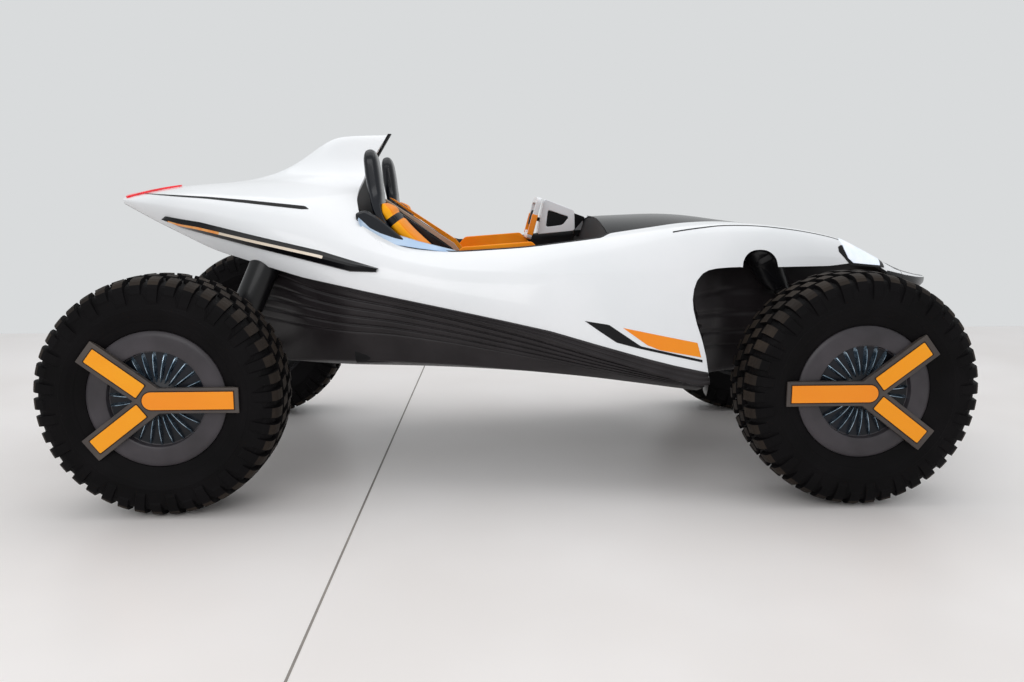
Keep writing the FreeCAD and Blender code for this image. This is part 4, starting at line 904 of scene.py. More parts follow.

# %% [markdown]
# The wheel cover is a dished ring round a turbine fan. A plain disc with painted lines
# would lose the depth, so the dish is one turned profile and each of the 26 blades is a
# thin wedge with its own height along the radius. The three-armed cap bolts over both.
# Its orange inlays are each framed by a dark brown band of painted shade, where a recess
# would be. Its plates stay bare of any lettering.

# %% Wheel cover
RING_SATIN = moulded("satin dark ring paint", "#383538", "#454145", 0.34, 1.0, 0.03)
# Dark brown painted shade: stands for the shadow in a recess round each inlay.
INLAY_SHADE_PAINT = moulded("dark brown recess paint", "#1C0F08", "#26160D", 0.5, 1.0, 0.03)
FAN_DARK = enamel("dark fan lacquer", "#0A0D13", "#131822", 0.34, 0.1, shine=0.25)
FAN_STEEL = tinted("blue-grey brushed steel", "#7D93A6", ("#5E7486", "#A9BCCB", 22), metallic=0.9,
                   roughness=0.26)
DISH_ROWS = np.array((
    (0.1180, 0.000), (0.1180, 0.036), (0.1150, 0.056), (0.1065, 0.070), (0.1030, 0.080),
    (0.1030, 0.150), (0.1035, 0.1765), (0.1050, 0.1795), (0.1200, 0.1812), (0.1262, 0.1830),
    (0.1285, 0.1865), (0.1298, 0.1950), (0.1305, 0.2150), (0.1298, 0.2380), (0.1268, 0.2510),
    (0.1215, 0.2580), (0.1120, 0.2605), (0.0970, 0.2608), (0.0940, 0.2590), (0.0940, 0.0000),
))
BLADES, BLADE_INNER, BLADE_OUTER = 26, 0.066, 0.1775
BLADE_FOOT_Y, BLADE_HEIGHT = 0.1025, 0.0205
INLAY_HALF, INLAY_END = 0.0335, 0.2915
ARM_HALF, ARM_TIP = 0.0475, 0.310
ARM_TURN = math.radians(142.5)
CAP_BACK, CAP_FACE = 0.127, 0.1495


def dish(sides=96):
    """Turned dish: the fan plate inside, the ring outside."""
    turn = turns(sides)
    y, radius = DISH_ROWS.T[..., None]
    points = xyz(radius * np.cos(turn), y, radius * np.sin(turn))
    faces = grid_faces(len(DISH_ROWS), sides, wrap_cols=True)
    return points, faces, np.repeat(np.arange(len(DISH_ROWS) - 1) < 6, sides).astype(int)


def blades():
    """All blades: a wedge across each radius, tall outside, leaning a little, low inside."""
    radius = np.linspace(BLADE_INNER, BLADE_OUTER, 12)
    share = (radius - radius[0]) / np.ptp(radius)
    height = BLADE_HEIGHT * np.sin(np.pi * np.clip(share * 0.86 + 0.12, 0, 1)) ** 0.6
    across = np.array([-0.0042, -0.0012, 0.0012, 0.0042])
    lift = np.array([0.0, 1.0, 1.0, 0.0])
    turn = (2 * np.pi * (np.arange(BLADES) + 0.5) / BLADES)[:, None, None]
    side = across + 0.006 * lift * share[:, None]
    out = radius[:, None]
    x = out * np.cos(turn) - side * np.sin(turn)
    z = out * np.sin(turn) + side * np.cos(turn)
    points = xyz(x, BLADE_FOOT_Y + height[:, None] * lift, z)
    ends = np.broadcast_to(points[:, [0, -1]].mean(2, keepdims=True), points[:, [0, -1]].shape)
    points = np.concatenate([ends[:, :1], points, ends[:, 1:]], 1)
    faces = grid_faces(points.shape[1], len(across), wrap_cols=True)
    starts = np.arange(BLADES)[:, None, None] * points.shape[1] * len(across)
    return points, (faces[None] + starts).reshape(-1, 4), 2


def turned_by(outline, angle):
    """Turn an outline in its own plane."""
    c, s = math.cos(angle), math.sin(angle)
    return np.asarray(outline) @ np.array([[c, s], [-s, c]])


def cap_outline():
    """Outline of the three arms: tip corners, and where neighbouring edges cross."""
    tip = np.array([[ARM_TIP, -ARM_HALF - 0.001], [ARM_TIP, ARM_HALF + 0.001]])
    wide = ARM_TURN / 2
    narrow = math.pi - ARM_TURN
    notch = ARM_HALF / math.sin(wide) * np.array([[math.cos(wide), math.sin(wide)]])
    back = np.array([[-ARM_HALF / math.sin(narrow), 0.0]])
    rows = (tip, notch, turned_by(tip, ARM_TURN), back, turned_by(tip, -ARM_TURN), notch * [1, -1])
    return np.concatenate(rows)


def inlays(grow):
    """Outlines of the long round-ended inlay and the two short ones, grown all round."""
    half, end = INLAY_HALF + grow, INLAY_END + grow
    turn = np.linspace(np.pi / 2, 3 * np.pi / 2, 17)
    round_end = np.stack([-0.010 + half * np.cos(turn), half * np.sin(turn)], -1)
    tip = np.array([(end, -half), (end, half)])
    start, low, high = 0.059 - grow, -half + 0.004, half - 0.004
    short = rounded([(start, low), (end - 0.006, low), (end - 0.006, high), (start, high)], 0.005, 4)
    return [np.concatenate([round_end, tip]), turned_by(short, ARM_TURN), turned_by(short, -ARM_TURN)]


def cover_pieces(corner, end, side):
    """Dish, blades, cap and inlays of one wheel; the long arm points to mid-car."""
    body = "wheel_" + corner
    toward = np.array([-end, 1, 1])
    place = lambda points: wheel_place(np.asarray(points) * toward, end, side)
    points, faces, index = joined([dish(), blades()])
    made = piece("wheel_dish_" + corner, place(points), faces, [RING_SATIN, FAN_DARK, FAN_STEEL],
                 "cover_grey", body, index=index)
    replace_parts(sealed(made), "wheel_cover_" + corner)
    shade_by_angle(made)
    back = CAP_FACE - 0.001
    plate("cap_" + corner, [cap_outline()], (CAP_BACK, CAP_FACE), COVER_GREY, "cover_grey", 0.0025,
          body=body, place=place)
    # Band of painted shade round each inlay, a little proud of the cap face, where a recess would be.
    plate("cap_recess_" + corner, inlays(0.0040), (back, CAP_FACE + 0.0005), INLAY_SHADE_PAINT, "cover_grey", 0,
          body=body, place=place)
    plate("cap_inlay_" + corner, inlays(0.0), (back, CAP_FACE + 0.0026), [ORANGE_ENAMEL, AMBER_ENAMEL],
          "seat_orange", 0.0012, body=body, place=place, numbers=(0, 1, 1))


for corner, end, side in CORNERS:
    cover_pieces(corner, end, side)
print("cover blades", BLADES, "cap arm length", ARM_TIP)

# %% [markdown]
# Suspension arms are steel tubes welded to a boss round the kingpin. Their outer ends are
# placed from the half wheelbase, which the wheel joints give, and their inner roots and
# heights are given as numbers. The front struts end in a bell under the fender.

# %% Suspension
ARM_TUBE = 0.0145
BOSS_RADIUS, BOSS_HALF = 0.027, 0.015
KINGPIN_Y = 0.700
UPPER_BOSS_Z, LOWER_BOSS_Z = 0.599, 0.321
FRONT_ROOTS = ((HALF_BASE - 0.170, 0.250), (HALF_BASE + 0.170, 0.250))
REAR_ROOTS = ((-0.790 * HALF_BASE, 0.300), (-0.790 * HALF_BASE, 0.120))


def tube(start, end, radius):
    """Plain tube with rounded ends."""
    length = float(np.linalg.norm(np.subtract(end, start)))
    profile = [(0, 0), (0, radius), (length, radius), (length, 0)]
    return (*bar_grid(start, end, profile, 20), 0)


def wishbone(end, boss_z, roots, root_z):
    """Both tubes, their weld collars and the boss of the left arm, and the right arm."""
    boss = np.array([end * HALF_BASE, KINGPIN_Y, boss_z])
    ring = [(-BOSS_HALF, 0.0), (-BOSS_HALF, 0.024), (-0.012, BOSS_RADIUS), (0.012, BOSS_RADIUS),
            (BOSS_HALF, 0.024), (BOSS_HALF, 0.0)]
    parts = [(*bar_grid(boss, boss + [0, 0, 1], ring, 28), 0)]
    for x, y in roots:
        root = np.array([x, y, root_z])
        line = unit(root - boss)
        parts.append(tube(boss + line * 0.014, root, ARM_TUBE))
        collar = [(0, ARM_TUBE), (0, 0.022), (0.012, 0.022), (0.030, ARM_TUBE)]
        parts.append((*bar_grid(boss + line * 0.024, root, collar, 20), 0))
    return paired(*joined(parts)[:2])


WISHBONES = (
    ("front_lower", 1, LOWER_BOSS_Z, FRONT_ROOTS, 0.339),
    ("front_upper", 1, UPPER_BOSS_Z, FRONT_ROOTS, 0.475),
    ("rear_lower", -1, LOWER_BOSS_Z, REAR_ROOTS, 0.393),
    ("rear_upper", -1, UPPER_BOSS_Z, REAR_ROOTS, 0.556),
)
for name, end, boss_z, roots, share in WISHBONES:
    form = wishbone(end, boss_z, roots, share * BODY_HEIGHT)
    made = sealed(piece(name + "_tubes", *form, DARK_STEEL, "dark_steel"))
    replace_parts(made, name + "_arms")
    shade_by_angle(made)


def strut_pair(name, top, foot, profile, replaced):
    """One turned strut and its mirror image."""
    made = piece(name, *paired(*bar_grid(top, foot, profile, 36)), STRUT_BLACK, "gloss_black")
    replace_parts(sealed(made), replaced)
    return shade_by_angle(made)


STRUT_BLACK = enamel("satin black strut paint", "#0B0B0D", "#131316", 0.34, 0.1, shine=0.3)
FRONT_BELL = (
    (-0.030, 0.000), (-0.030, 0.070), (-0.004, 0.0735), (0.000, 0.0735), (0.006, 0.0715), (0.010, 0.0680),
    (0.045, 0.0590), (0.090, 0.0470), (0.135, 0.0390), (0.137, 0.0350), (0.290, 0.0250), (0.345, 0.0230),
    (0.345, 0.0000),
)
REAR_DAMPER = (
    (-0.010, 0.000), (-0.010, 0.058), (0.010, 0.062), (0.190, 0.062), (0.196, 0.054), (0.330, 0.050),
    (0.334, 0.036), (0.480, 0.032), (0.485, 0.040), (0.530, 0.040), (0.532, 0.000),
)
strut_pair("front_bell_struts", (1.080, 0.480, 0.950), (1.252, 0.4636, 0.652), FRONT_BELL, "front_struts")
strut_pair("rear_damper_struts", (-1.020, 0.480, 0.930), (-1.244, 0.560, 0.4115), REAR_DAMPER, "rear_struts")
COLLAR_ROWS = np.array((
    (1.050, 0.480, 0.995, 0.0005), (1.050, 0.480, 0.995, 0.0500), (1.050, 0.480, 0.990, 0.0680),
    (1.051, 0.480, 0.980, 0.0745), (1.053, 0.480, 0.966, 0.0730), (1.056, 0.478, 0.944, 0.0640),
    (1.082, 0.470, 0.899, 0.0595), (1.105, 0.465, 0.861, 0.0540), (1.1155, 0.462, 0.845, 0.0505),
    (1.137, 0.458, 0.812, 0.0420), (1.139, 0.458, 0.809, 0.0005),
))


def bell_collars():
    """Boot over each front strut: level rings whose middle leans forward as they narrow."""
    turn = turns(48)
    x, y, z, radius = COLLAR_ROWS.T[..., None]
    points = xyz(x + radius * np.cos(turn), y + radius * np.sin(turn), z)
    form = paired(points, grid_faces(len(COLLAR_ROWS), 48, wrap_cols=True))
    shade_by_angle(sealed(piece("bell_collars", *form, STRUT_BLACK, "gloss_black")), 50)


bell_collars()
print("suspension pieces made")

# %% [markdown]
# The wheel well's rear wall closes the body in front of the cockpit. On the real car it is
# a black liner with horizontal ribs. It is ruled from the arch edge inwards, and the ribs
# are waves of the wall's depth along its height.

# %% Wheel well liner
LINER_LOW, LINER_HIGH = 0.40, 0.919
LINER_BEND = ARCH_EDGE[0][1]
LINER_INNER_X, LINER_INNER_Y = 0.86, 0.395
RIB_LOW, RIB_HIGH, RIB_PITCH, RIB_DEPTH = 0.50, 0.70, 0.047, 0.008


def well_liner(name, side):
    """Ruled wall: the arch edge outside, an upright line inside, ribbed in between."""
    z = np.linspace(LINER_LOW, LINER_HIGH, 150)
    arch = np.array(ARCH_EDGE)
    outer_x = np.interp(z, arch[:, 1], arch[:, 0]) + 0.004
    outer_s = s_at_height(outer_x, np.maximum(z, LINER_BEND))
    outer_y = body_at(outer_x, outer_s)[:, 1] - 0.008
    outer_y = np.where(z < LINER_BEND, outer_y - (LINER_BEND - z) * 0.6, outer_y)
    inward = np.linspace(0, 1, 27)[:, None]
    x = outer_x + (LINER_INNER_X - outer_x) * inward ** 1.5
    y = outer_y + (LINER_INNER_Y - outer_y) * inward
    band = np.clip((z - RIB_LOW) / 0.02, 0, 1) * np.clip((RIB_HIGH - z) / 0.02, 0, 1)
    rib = np.clip(np.cos(2 * np.pi * (z - RIB_LOW) / RIB_PITCH) * 1.8, -1, 1) * RIB_DEPTH * band
    fade = np.clip(inward / 0.1, 0, 1)
    points = xyz(x - rib * fade - 0.006 * band * fade, side * y, z)
    sheet("well_liner_" + name, points, HULL_COMPOSITE, "hull_black", flip=side < 0)


for name, side in SIDES:
    well_liner(name, side)

# %% [markdown]
# Decals, lamps and thin trims lie on the body. Black strips of painted shade stand for the
# tail's slot and the fender's groove. Each is a patch of the same body surface: its two
# edges are given as x and height, or as x and s, the height is turned into the surface's
# own parameter, and the patch is lifted a little along the surface normal.

# %% Patches on the body
def on_body(edge, steps, surface=body_at, by_height=True):
    """x and s of evenly spaced points along an edge of (x, z) or (x, s) corners."""
    x, value = along(edge, steps).T
    return x, s_at_height(x, value, surface) if by_height else value


def lifted(points, height):
    """Move a grid along its own normals, with y always outwards."""
    normal = unit(np.cross(np.gradient(points, axis=0), np.gradient(points, axis=1)))
    normal *= np.where(normal[..., 1:2] < 0, -1, 1)
    return points + normal * height


BY_S, TOP_BY_S = (False, False), (False, True)


def body_patch(name, upper, lower, material, slot, height=0.001, wall=0.0, steps=60, rows=10,
               surface=body_at, by_height=(True, True)):
    """Patch ruled in (x, s) between two edges, on both sides of the car."""
    x_up, s_up = on_body(upper, steps, surface, by_height[0])
    x_low, s_low = on_body(lower, steps, surface, by_height[1])
    v = np.linspace(0, 1, rows)[:, None]
    x, s = x_up + (x_low - x_up) * v, s_up + (s_low - s_up) * v
    made = twins(name, lifted(surface(x, s), height), material, slot)
    return walled(made, wall) if wall else made


STRIPE_TOP = ((0.283, 0.715), (0.382, 0.699), (0.509, 0.614), (0.757, 0.558))
STRIPE_LOW = ((0.285, 0.7145), (0.346, 0.672), (0.411, 0.629), (0.501, 0.605), (0.757, 0.548))
WEDGE_TOP = ((0.436, 0.687), (0.738, 0.625))
WEDGE_LOW = ((0.438, 0.6865), (0.535, 0.618), (0.583, 0.599), (0.752, 0.568))
body_patch("side_stripe", STRIPE_TOP, STRIPE_LOW, TRIM_BLACK, "gloss_black")
body_patch("side_wedge", WEDGE_TOP, WEDGE_LOW, ORANGE_ENAMEL, "seat_orange")
# Black strip of painted shade where the gap between the tail deck and the flank lies in shadow.
SLOT_TOP = ((-1.595, 1.224), (-1.257, 1.207), (-1.082, 1.193), (-0.845, 1.169), (-0.828, 1.1575))
SLOT_LOW = ((-1.596, 1.222), (-1.257, 1.199), (-1.083, 1.181), (-0.856, 1.156), (-0.828, 1.1565))
body_patch("tail_slot", SLOT_TOP, SLOT_LOW, BLACK_ENAMEL, "gloss_black", 0.0008, steps=90, rows=6,
           surface=tail_at)
RED = tinted("red lamp acrylic", "#D81220", ("#C80E1B", "#EE1C2B", 40), ("#FF2030", 0.25), roughness=0.2,
             coat_weight=0.8)
LAMP_TOP = ((-1.645, 0.82), (-1.560, 0.55), (-1.456, 0.33))
LAMP_LOW = ((-1.645, 1.04), (-1.560, 0.69), (-1.456, 0.38))
body_patch("tail_lamp_strips", LAMP_TOP, LAMP_LOW, RED, "tail_lamp_red", 0.0090, 0.0080,
           surface=tail_at, by_height=BY_S)
# Black strip of painted shade along the fender's groove, lifted onto the white surface.
GROOVE_TOP = ((0.660, 0.953), (0.850, 0.939), (1.000, 0.941), (1.200, 0.949), (1.400, 0.956))
GROOVE_LOW = tuple((x, s + 0.009) for x, s in GROOVE_TOP)
body_patch("fender_groove", GROOVE_TOP, GROOVE_LOW, BLACK_ENAMEL, "gloss_black", 0.0008, steps=90, rows=4,
           by_height=BY_S)
ROCKER_TOP = (
    (-0.900, 0.895), (-0.653, 0.848), (-0.453, 0.805), (-0.253, 0.763), (-0.053, 0.720), (0.147, 0.675),
    (0.347, 0.617), (0.544, 0.562), (0.644, 0.537), (0.779, 0.508),
)
ROCKER_RIBS, ROCKER_LIFT, RIB_RISE = 3, 0.0015, 0.004


def rockers():
    """Dark ribbed strip under the white: ruled down to the panel's edge, then round its rim."""
    x_top, s_top = on_body(ROCKER_TOP, 150)
    v = np.linspace(0, 1, 31)[:, None]
    x = x_top + (x_top - x_top[0]) * 0.004 * v
    s = s_top + (2.0 - s_top) * v
    rib = np.clip(0.5 - 0.9 * np.cos(2 * np.pi * ROCKER_RIBS * v), 0, 1) * np.clip((x - x_top[0]) / 0.4, 0, 1)
    skin = body_at(x, s)
    points = skin + (lifted(skin, 1.0) - skin) * (ROCKER_LIFT + RIB_RISE * rib)[..., None]
    under = points[-1:] + np.array([0.0, -0.020, -0.0015])
    twins("rocker_ribs", np.concatenate([points, under]), HULL_COMPOSITE, "hull_black")


rockers()
BANDS = (
    ("nose_bands_upper", ((1.635, 0.93), (NOSE_X, 0.80)), ((1.635, 0.94), (NOSE_X, 1.02))),
    ("nose_bands_lower", ((1.640, 1.30), (NOSE_X, 1.27)), ((1.600, 1.85), (1.660, 1.90), (NOSE_X, 1.93))),
)
for name, upper, lower in BANDS:
    body_patch(name, upper, lower, BLACK_ENAMEL, "gloss_black", 0.0012, by_height=BY_S)
print("patches on the body made")

# %% [markdown]
# The headlamp fills the fender's front corner. Its lens is clear acrylic over a lit white
# reflector, so it has a faint glow of its own. A black surround sits behind it.

# %% Headlamps
LENS = tinted("lit acrylic lens", "#F4F8FF", ("#E4EEFB", "#FBFDFF", 60), ("#DDE9FF", 0.35), roughness=0.12,
              coat_weight=1.0)
LENS_TOP = ((1.405, 0.93), (1.500, 0.90), (1.590, 0.86), (1.604, 0.90))
LENS_LOW = ((1.413, 0.985), (1.430, 0.946), (1.455, 0.926), (1.598, 0.910))
SURROUND_TOP = ((1.385, 1.12), (1.400, 1.06), (1.500, 0.98), (1.590, 0.83), (1.625, 0.84))
SURROUND_LOW = ((1.386, 0.975), (1.412, 0.948), (1.440, 0.917), (1.625, 0.900))
body_patch("lamp_surrounds", SURROUND_TOP, SURROUND_LOW, BLACK_ENAMEL, "gloss_black", 0.0012,
           by_height=TOP_BY_S)
made = body_patch("lamp_lenses", LENS_TOP, LENS_LOW, LENS, "headlamp_glass", 0.0035, 0.003,
                  by_height=TOP_BY_S)
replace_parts(made, "headlamp_left", "headlamp_right")

# %% [markdown]
# A wing-like blade runs along each tail flank: gloss black, with an amber lamp at its rear end
# and an ivory line along its upper facet, which is a painted highlight. Its section is a flat
# diamond, carried along a line of the flank.

# %% Side blades
BLADE_TOP = ((-1.448, 1.127), (-1.279, 1.104), (-0.770, 0.993), (-0.536, 0.925))
BLADE_LOW = ((-1.453, 1.119), (-1.375, 1.084), (-0.649, 0.912), (-0.544, 0.909))
AMBER = tinted("amber lamp acrylic", "#FF9A2E", ("#F58A1C", "#FFB45A", 40), roughness=0.18, coat_weight=0.8)
# Ivory colour painted on the black blade as a highlight line, where the light catches its upper facet.
BLADE_HIGHLIGHT_PAINT = enamel("ivory lacquer edge", "#E9D8C2", "#F3E6D6", 0.25, 0.4)


def side_blades():
    """Closed blade: five lines between its edges, the middle ones standing proud."""
    steps = 90
    x_up, s_up = on_body(BLADE_TOP, steps, tail_at)
    x_low, s_low = on_body(BLADE_LOW, steps, tail_at)
    share = np.array([0.0, 0.10, 0.34, 0.53, 0.95, 1.0])[:, None]
    proud = np.array([0.001, 0.006, 0.020, 0.021, 0.010, 0.001])[:, None, None]
    points = tail_at(x_up + (x_low - x_up) * share, s_up + (s_low - s_up) * share)
    points = lifted(points, 1.0) * proud + points * (1 - proud)
    back = tail_at(x_low, s_low)[None] - np.array([0, 0.004, 0])
    points = np.concatenate([points, back])
    faces = grid_faces(len(points), steps, wrap_rows=True)
    index = np.zeros((len(points), steps - 1), int)
    # Row 2 is the bright line: amber lamp at the rear end, then the ivory painted highlight further forward.
    index[2, 3:26], index[2, 26:68] = 1, 2
    made = piece("tail_blades", *paired(points, faces), [BLACK_ENAMEL, AMBER, BLADE_HIGHLIGHT_PAINT], "gloss_black",
                 smooth=False, index=np.tile(index.ravel(), 2))
    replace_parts(sealed(made), "side_blade_left", "side_blade_right")


side_blades()

# %% [markdown]
# The cockpit opening is trimmed on its inner side. A ledge climbs behind the sill round the
# rear corner, with a black inner face. Its top is a pale blue strip, a painted reflection of
# the white sill in dark gloss. An orange door trim stands beside the seats. The ledge is
# ruled between its two edges, which are given in side view.

# %% Cockpit lip, ledge and door trims
LIP_END_X = 0.43
LIP_ROWS = (
    (-0.002, 0.001), (-0.010, 0.005), (-0.024, 0.004), (-0.038, -0.004), (-0.045, -0.030), (-0.046, -0.085),
)
SOFT_ORANGE = moulded("orange stitched leather", "#FA8D08", "#FF9C12", 0.48, 1.1, 0.12, 0.2)
SOFT_YELLOW = moulded("amber stitched leather", "#FFA600", "#FFB40A", 0.48, 1.1, 0.12, 0.2)
SOFT_BLACK = moulded("black stitched leather", "#0D0D10", "#16161A", 0.44, 1.1, 0.12, 0.2)
SOFT_TAN = moulded("taupe stitched leather", "#A8917E", "#BAA491", 0.48, 1.1, 0.12, 0.2)
# Pale blue painted reflection: the white sill's sheen on dark gloss, given as a colour.
SILL_REFLECTION_PAINT = enamel("pale blue trim lacquer", "#8FB4DE", "#C3D8EE", 0.22, 0.5)
LEDGE_LOW = (
    (-0.627, 1.115), (-0.622, 1.100), (-0.603, 1.050), (-0.561, 1.026), (-0.380, 0.996), (-0.200, 0.972),
)
LEDGE_HIGH = (
    (-0.628, 1.125), (-0.612, 1.118), (-0.564, 1.092), (-0.474, 1.050), (-0.382, 1.022), (-0.200, 0.976),
)
LEDGE_LOW_Y, LEDGE_HIGH_Y = 0.539, 0.505
DOOR_TRIM = (
    (-0.286, 0.905), (-0.206, 1.000), (0.085, 1.022), (0.165, 0.940), (0.120, 0.780), (-0.240, 0.780),
)
DOOR_TRIM_Y = (0.486, 0.502)


def cockpit_lip(name, side):
    """Lip section, as (inwards, upwards) steps, carried along the panel's upper edge."""
    x = np.linspace(BULKHEAD_X, LIP_END_X, 130)
    edge = body_at(x, sill_s(x))
    rows = np.array(LIP_ROWS)
    points = sided(edge + xyz(0.0, rows[:, 0], rows[:, 1])[:, None, :], side)
    sheet("cockpit_lip_" + name, points, SOFT_BLACK, "black_trim", flip=side > 0)


def ledge(name, side):
    """Pale blue strip of painted reflection between the ledge's edges and a black face down from the higher one.
    """
    low, high = along(LEDGE_LOW, 80), along(LEDGE_HIGH, 80)
    share = np.linspace(0, 1, 9)[:, None]
    face = low + (high - low) * share[..., None]
    drop = high - np.array([0.0, 0.13]) * np.linspace(0, 1, 5)[1:, None, None]
    y = np.r_[LEDGE_LOW_Y + (LEDGE_HIGH_Y - LEDGE_LOW_Y) * share, np.full((4, 1), LEDGE_HIGH_Y - 0.006)]
    xz = np.concatenate([face, drop])
    points = xyz(xz[..., 0], side * y, xz[..., 1])
    index = np.repeat((np.arange(len(points) - 1) >= 8).astype(int), 79)
    made = sheet("ledge_" + name, points, [SILL_REFLECTION_PAINT, SOFT_BLACK], "tub_trim", side < 0, index=index)
    walled(made, 0.003)


TUB_FLOOR, TUB_HALF, FOOT_HALF, TUB_ROUND = 0.520, 0.527, 0.330, 0.06
TUB_X = (BULKHEAD_X, 0.56, 0.62, 0.885)


def tub():
    """Tub in one grid: side wall, rounded corner and floor, narrower round the feet."""
    x = spaced(TUB_X, (70, 12, 20))[:, None]
    half = TUB_HALF + (FOOT_HALF - TUB_HALF) * np.clip((x - TUB_X[1]) / 0.06, 0, 1)
    top = body_at(x, COCKPIT_HALF / SHOULDER_Y(x))[..., 2] - 0.018
    corner = np.linspace(0, np.pi / 2, 9)
    flat = TUB_ROUND + (half.max() - TUB_ROUND) * np.linspace(0.1, 1, 8)
    inwards = np.r_[np.zeros(6), TUB_ROUND * (1 - np.cos(corner)), flat]
    height = np.r_[np.linspace(1, 0, 7)[:-1], np.zeros(17)]
    curve = np.r_[np.full(6, TUB_ROUND), TUB_ROUND * (1 - np.sin(corner)), np.zeros(8)]
    z = TUB_FLOOR + curve + (top - TUB_FLOOR - TUB_ROUND) * height
    points = xyz(x, half * (1 - inwards / half.max()), z)
    points = np.concatenate([points, points[:, -2::-1] * MIRROR], 1)
    made = sheet("cockpit_liner", points, TRIM_BLACK, "tub_trim")
    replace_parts(walled(made, 0.010), "cockpit_tub")
    wall = np.stack([points[-1], points[-1] * np.array([1, 1, 0]) + np.array([0, 0, TUB_FLOOR])])
    sheet("toe_board", wall, TRIM_BLACK, "tub_trim")


tub()
for name, side in SIDES:
    cockpit_lip(name, side)
    ledge(name, side)
    span = (side * DOOR_TRIM_Y[0], side * DOOR_TRIM_Y[1])
    plate("door_trim_" + name, [rounded(DOOR_TRIM, 0.012)], span, SOFT_ORANGE, "seat_orange", 0.004)

# %% [markdown]
# Each seat is a one-piece bucket with a tall narrow headrest. Its centre line is drawn in
# side view, and a rounded section runs along it, with half width and thickness that change
# along the line. Wings stand on both sides; the inner one is higher and edged in taupe.
# The pad lies between them, with its stripes sewn lengthwise and channels where they meet.

# %% Seats
SEAT_LINE_SHARES = np.array((
    (-0.417, 0.955), (-0.412, 0.930), (-0.402, 0.847), (-0.387, 0.786), (-0.328, 0.719), (-0.223, 0.631),
    (-0.134, 0.556), (-0.067, 0.505), (0.000, 0.478), (0.089, 0.475), (0.171, 0.492),
))
SEAT_Y = 0.4605 * BODY_HALF
SEAT_GLOSS = enamel("blue-black seat lacquer", "#090B10", "#10141C", 0.26, 0.15, shine=0.3)
OUTER_WING = (
    (-0.640, 1.140), (-0.602, 1.152), (-0.561, 1.132), (-0.527, 1.106), (-0.430, 1.022), (-0.350, 0.960),
    (-0.250, 0.900), (-0.280, 0.860), (-0.500, 0.900), (-0.625, 1.000),
)
INNER_WING = (
    (-0.585, 1.190), (-0.550, 1.180), (-0.257, 0.985), (-0.205, 0.930), (-0.280, 0.860), (-0.500, 0.920),
    (-0.600, 1.050),
)
WING_EDGE = (
    (-0.566, 1.203), (-0.545, 1.196), (-0.245, 1.000), (-0.198, 0.938), (-0.208, 0.930), (-0.258, 0.984),
)
SEAT_STAND = ((-0.150, 0.535), (0.185, 0.535), (0.170, 0.690), (-0.110, 0.690))
SHELL_WIDTHS = (0.070, 0.074, 0.080, 0.135, 0.168, 0.166)
SHELL_THICKNESSES = (0.056, 0.066, 0.050, 0.036, 0.036)
BADGE_X, BADGE_Z = -0.572, 1.262


def seat_line(at, back):
    """Points and forward normals of the seat's line, moved back along the normal."""
    raw = along(SEAT_LINE_SHARES * np.array([HALF_BASE, BODY_HEIGHT]), 400)
    soft = np.stack([softened(column, 61, "reflect", reflect_type="odd") for column in raw.T], -1)
    slope = np.gradient(soft, axis=0)
    normal = unit(np.stack([-slope[:, 1], slope[:, 0]], -1))
    place = np.linspace(0, 1, 400)
    columns = [np.interp(at, place, column) for column in (*soft.T, *normal.T)]
    spot, facing = np.stack(columns[:2], -1), np.stack(columns[2:], -1)
    return spot - facing * back, facing


def seat_form(at, half_width, thickness, back, power=0.55, columns=64):
    """Rounded section along the seat's line: y and depth are powers of cosine and sine."""
    line, normal = seat_line(at, back)
    turn = turns(columns)
    wide = np.sign(np.cos(turn)) * np.abs(np.cos(turn)) ** power
    deep = np.sign(np.sin(turn)) * np.abs(np.sin(turn)) ** power
    depth = thickness[:, None] / 2 * deep
    points = line[:, None, :] + normal[:, None, :] * depth[..., None]
    return xyz(points[..., 0], half_width[:, None] * wide, points[..., 1]), wide, deep, turn


def swell(at, stops, values):
    """Smooth value along the seat: straight runs between stops, blurred a little."""
    fine = np.linspace(0, 1, 300)
    return np.interp(at, fine, softened(np.interp(fine, stops, values), 25))


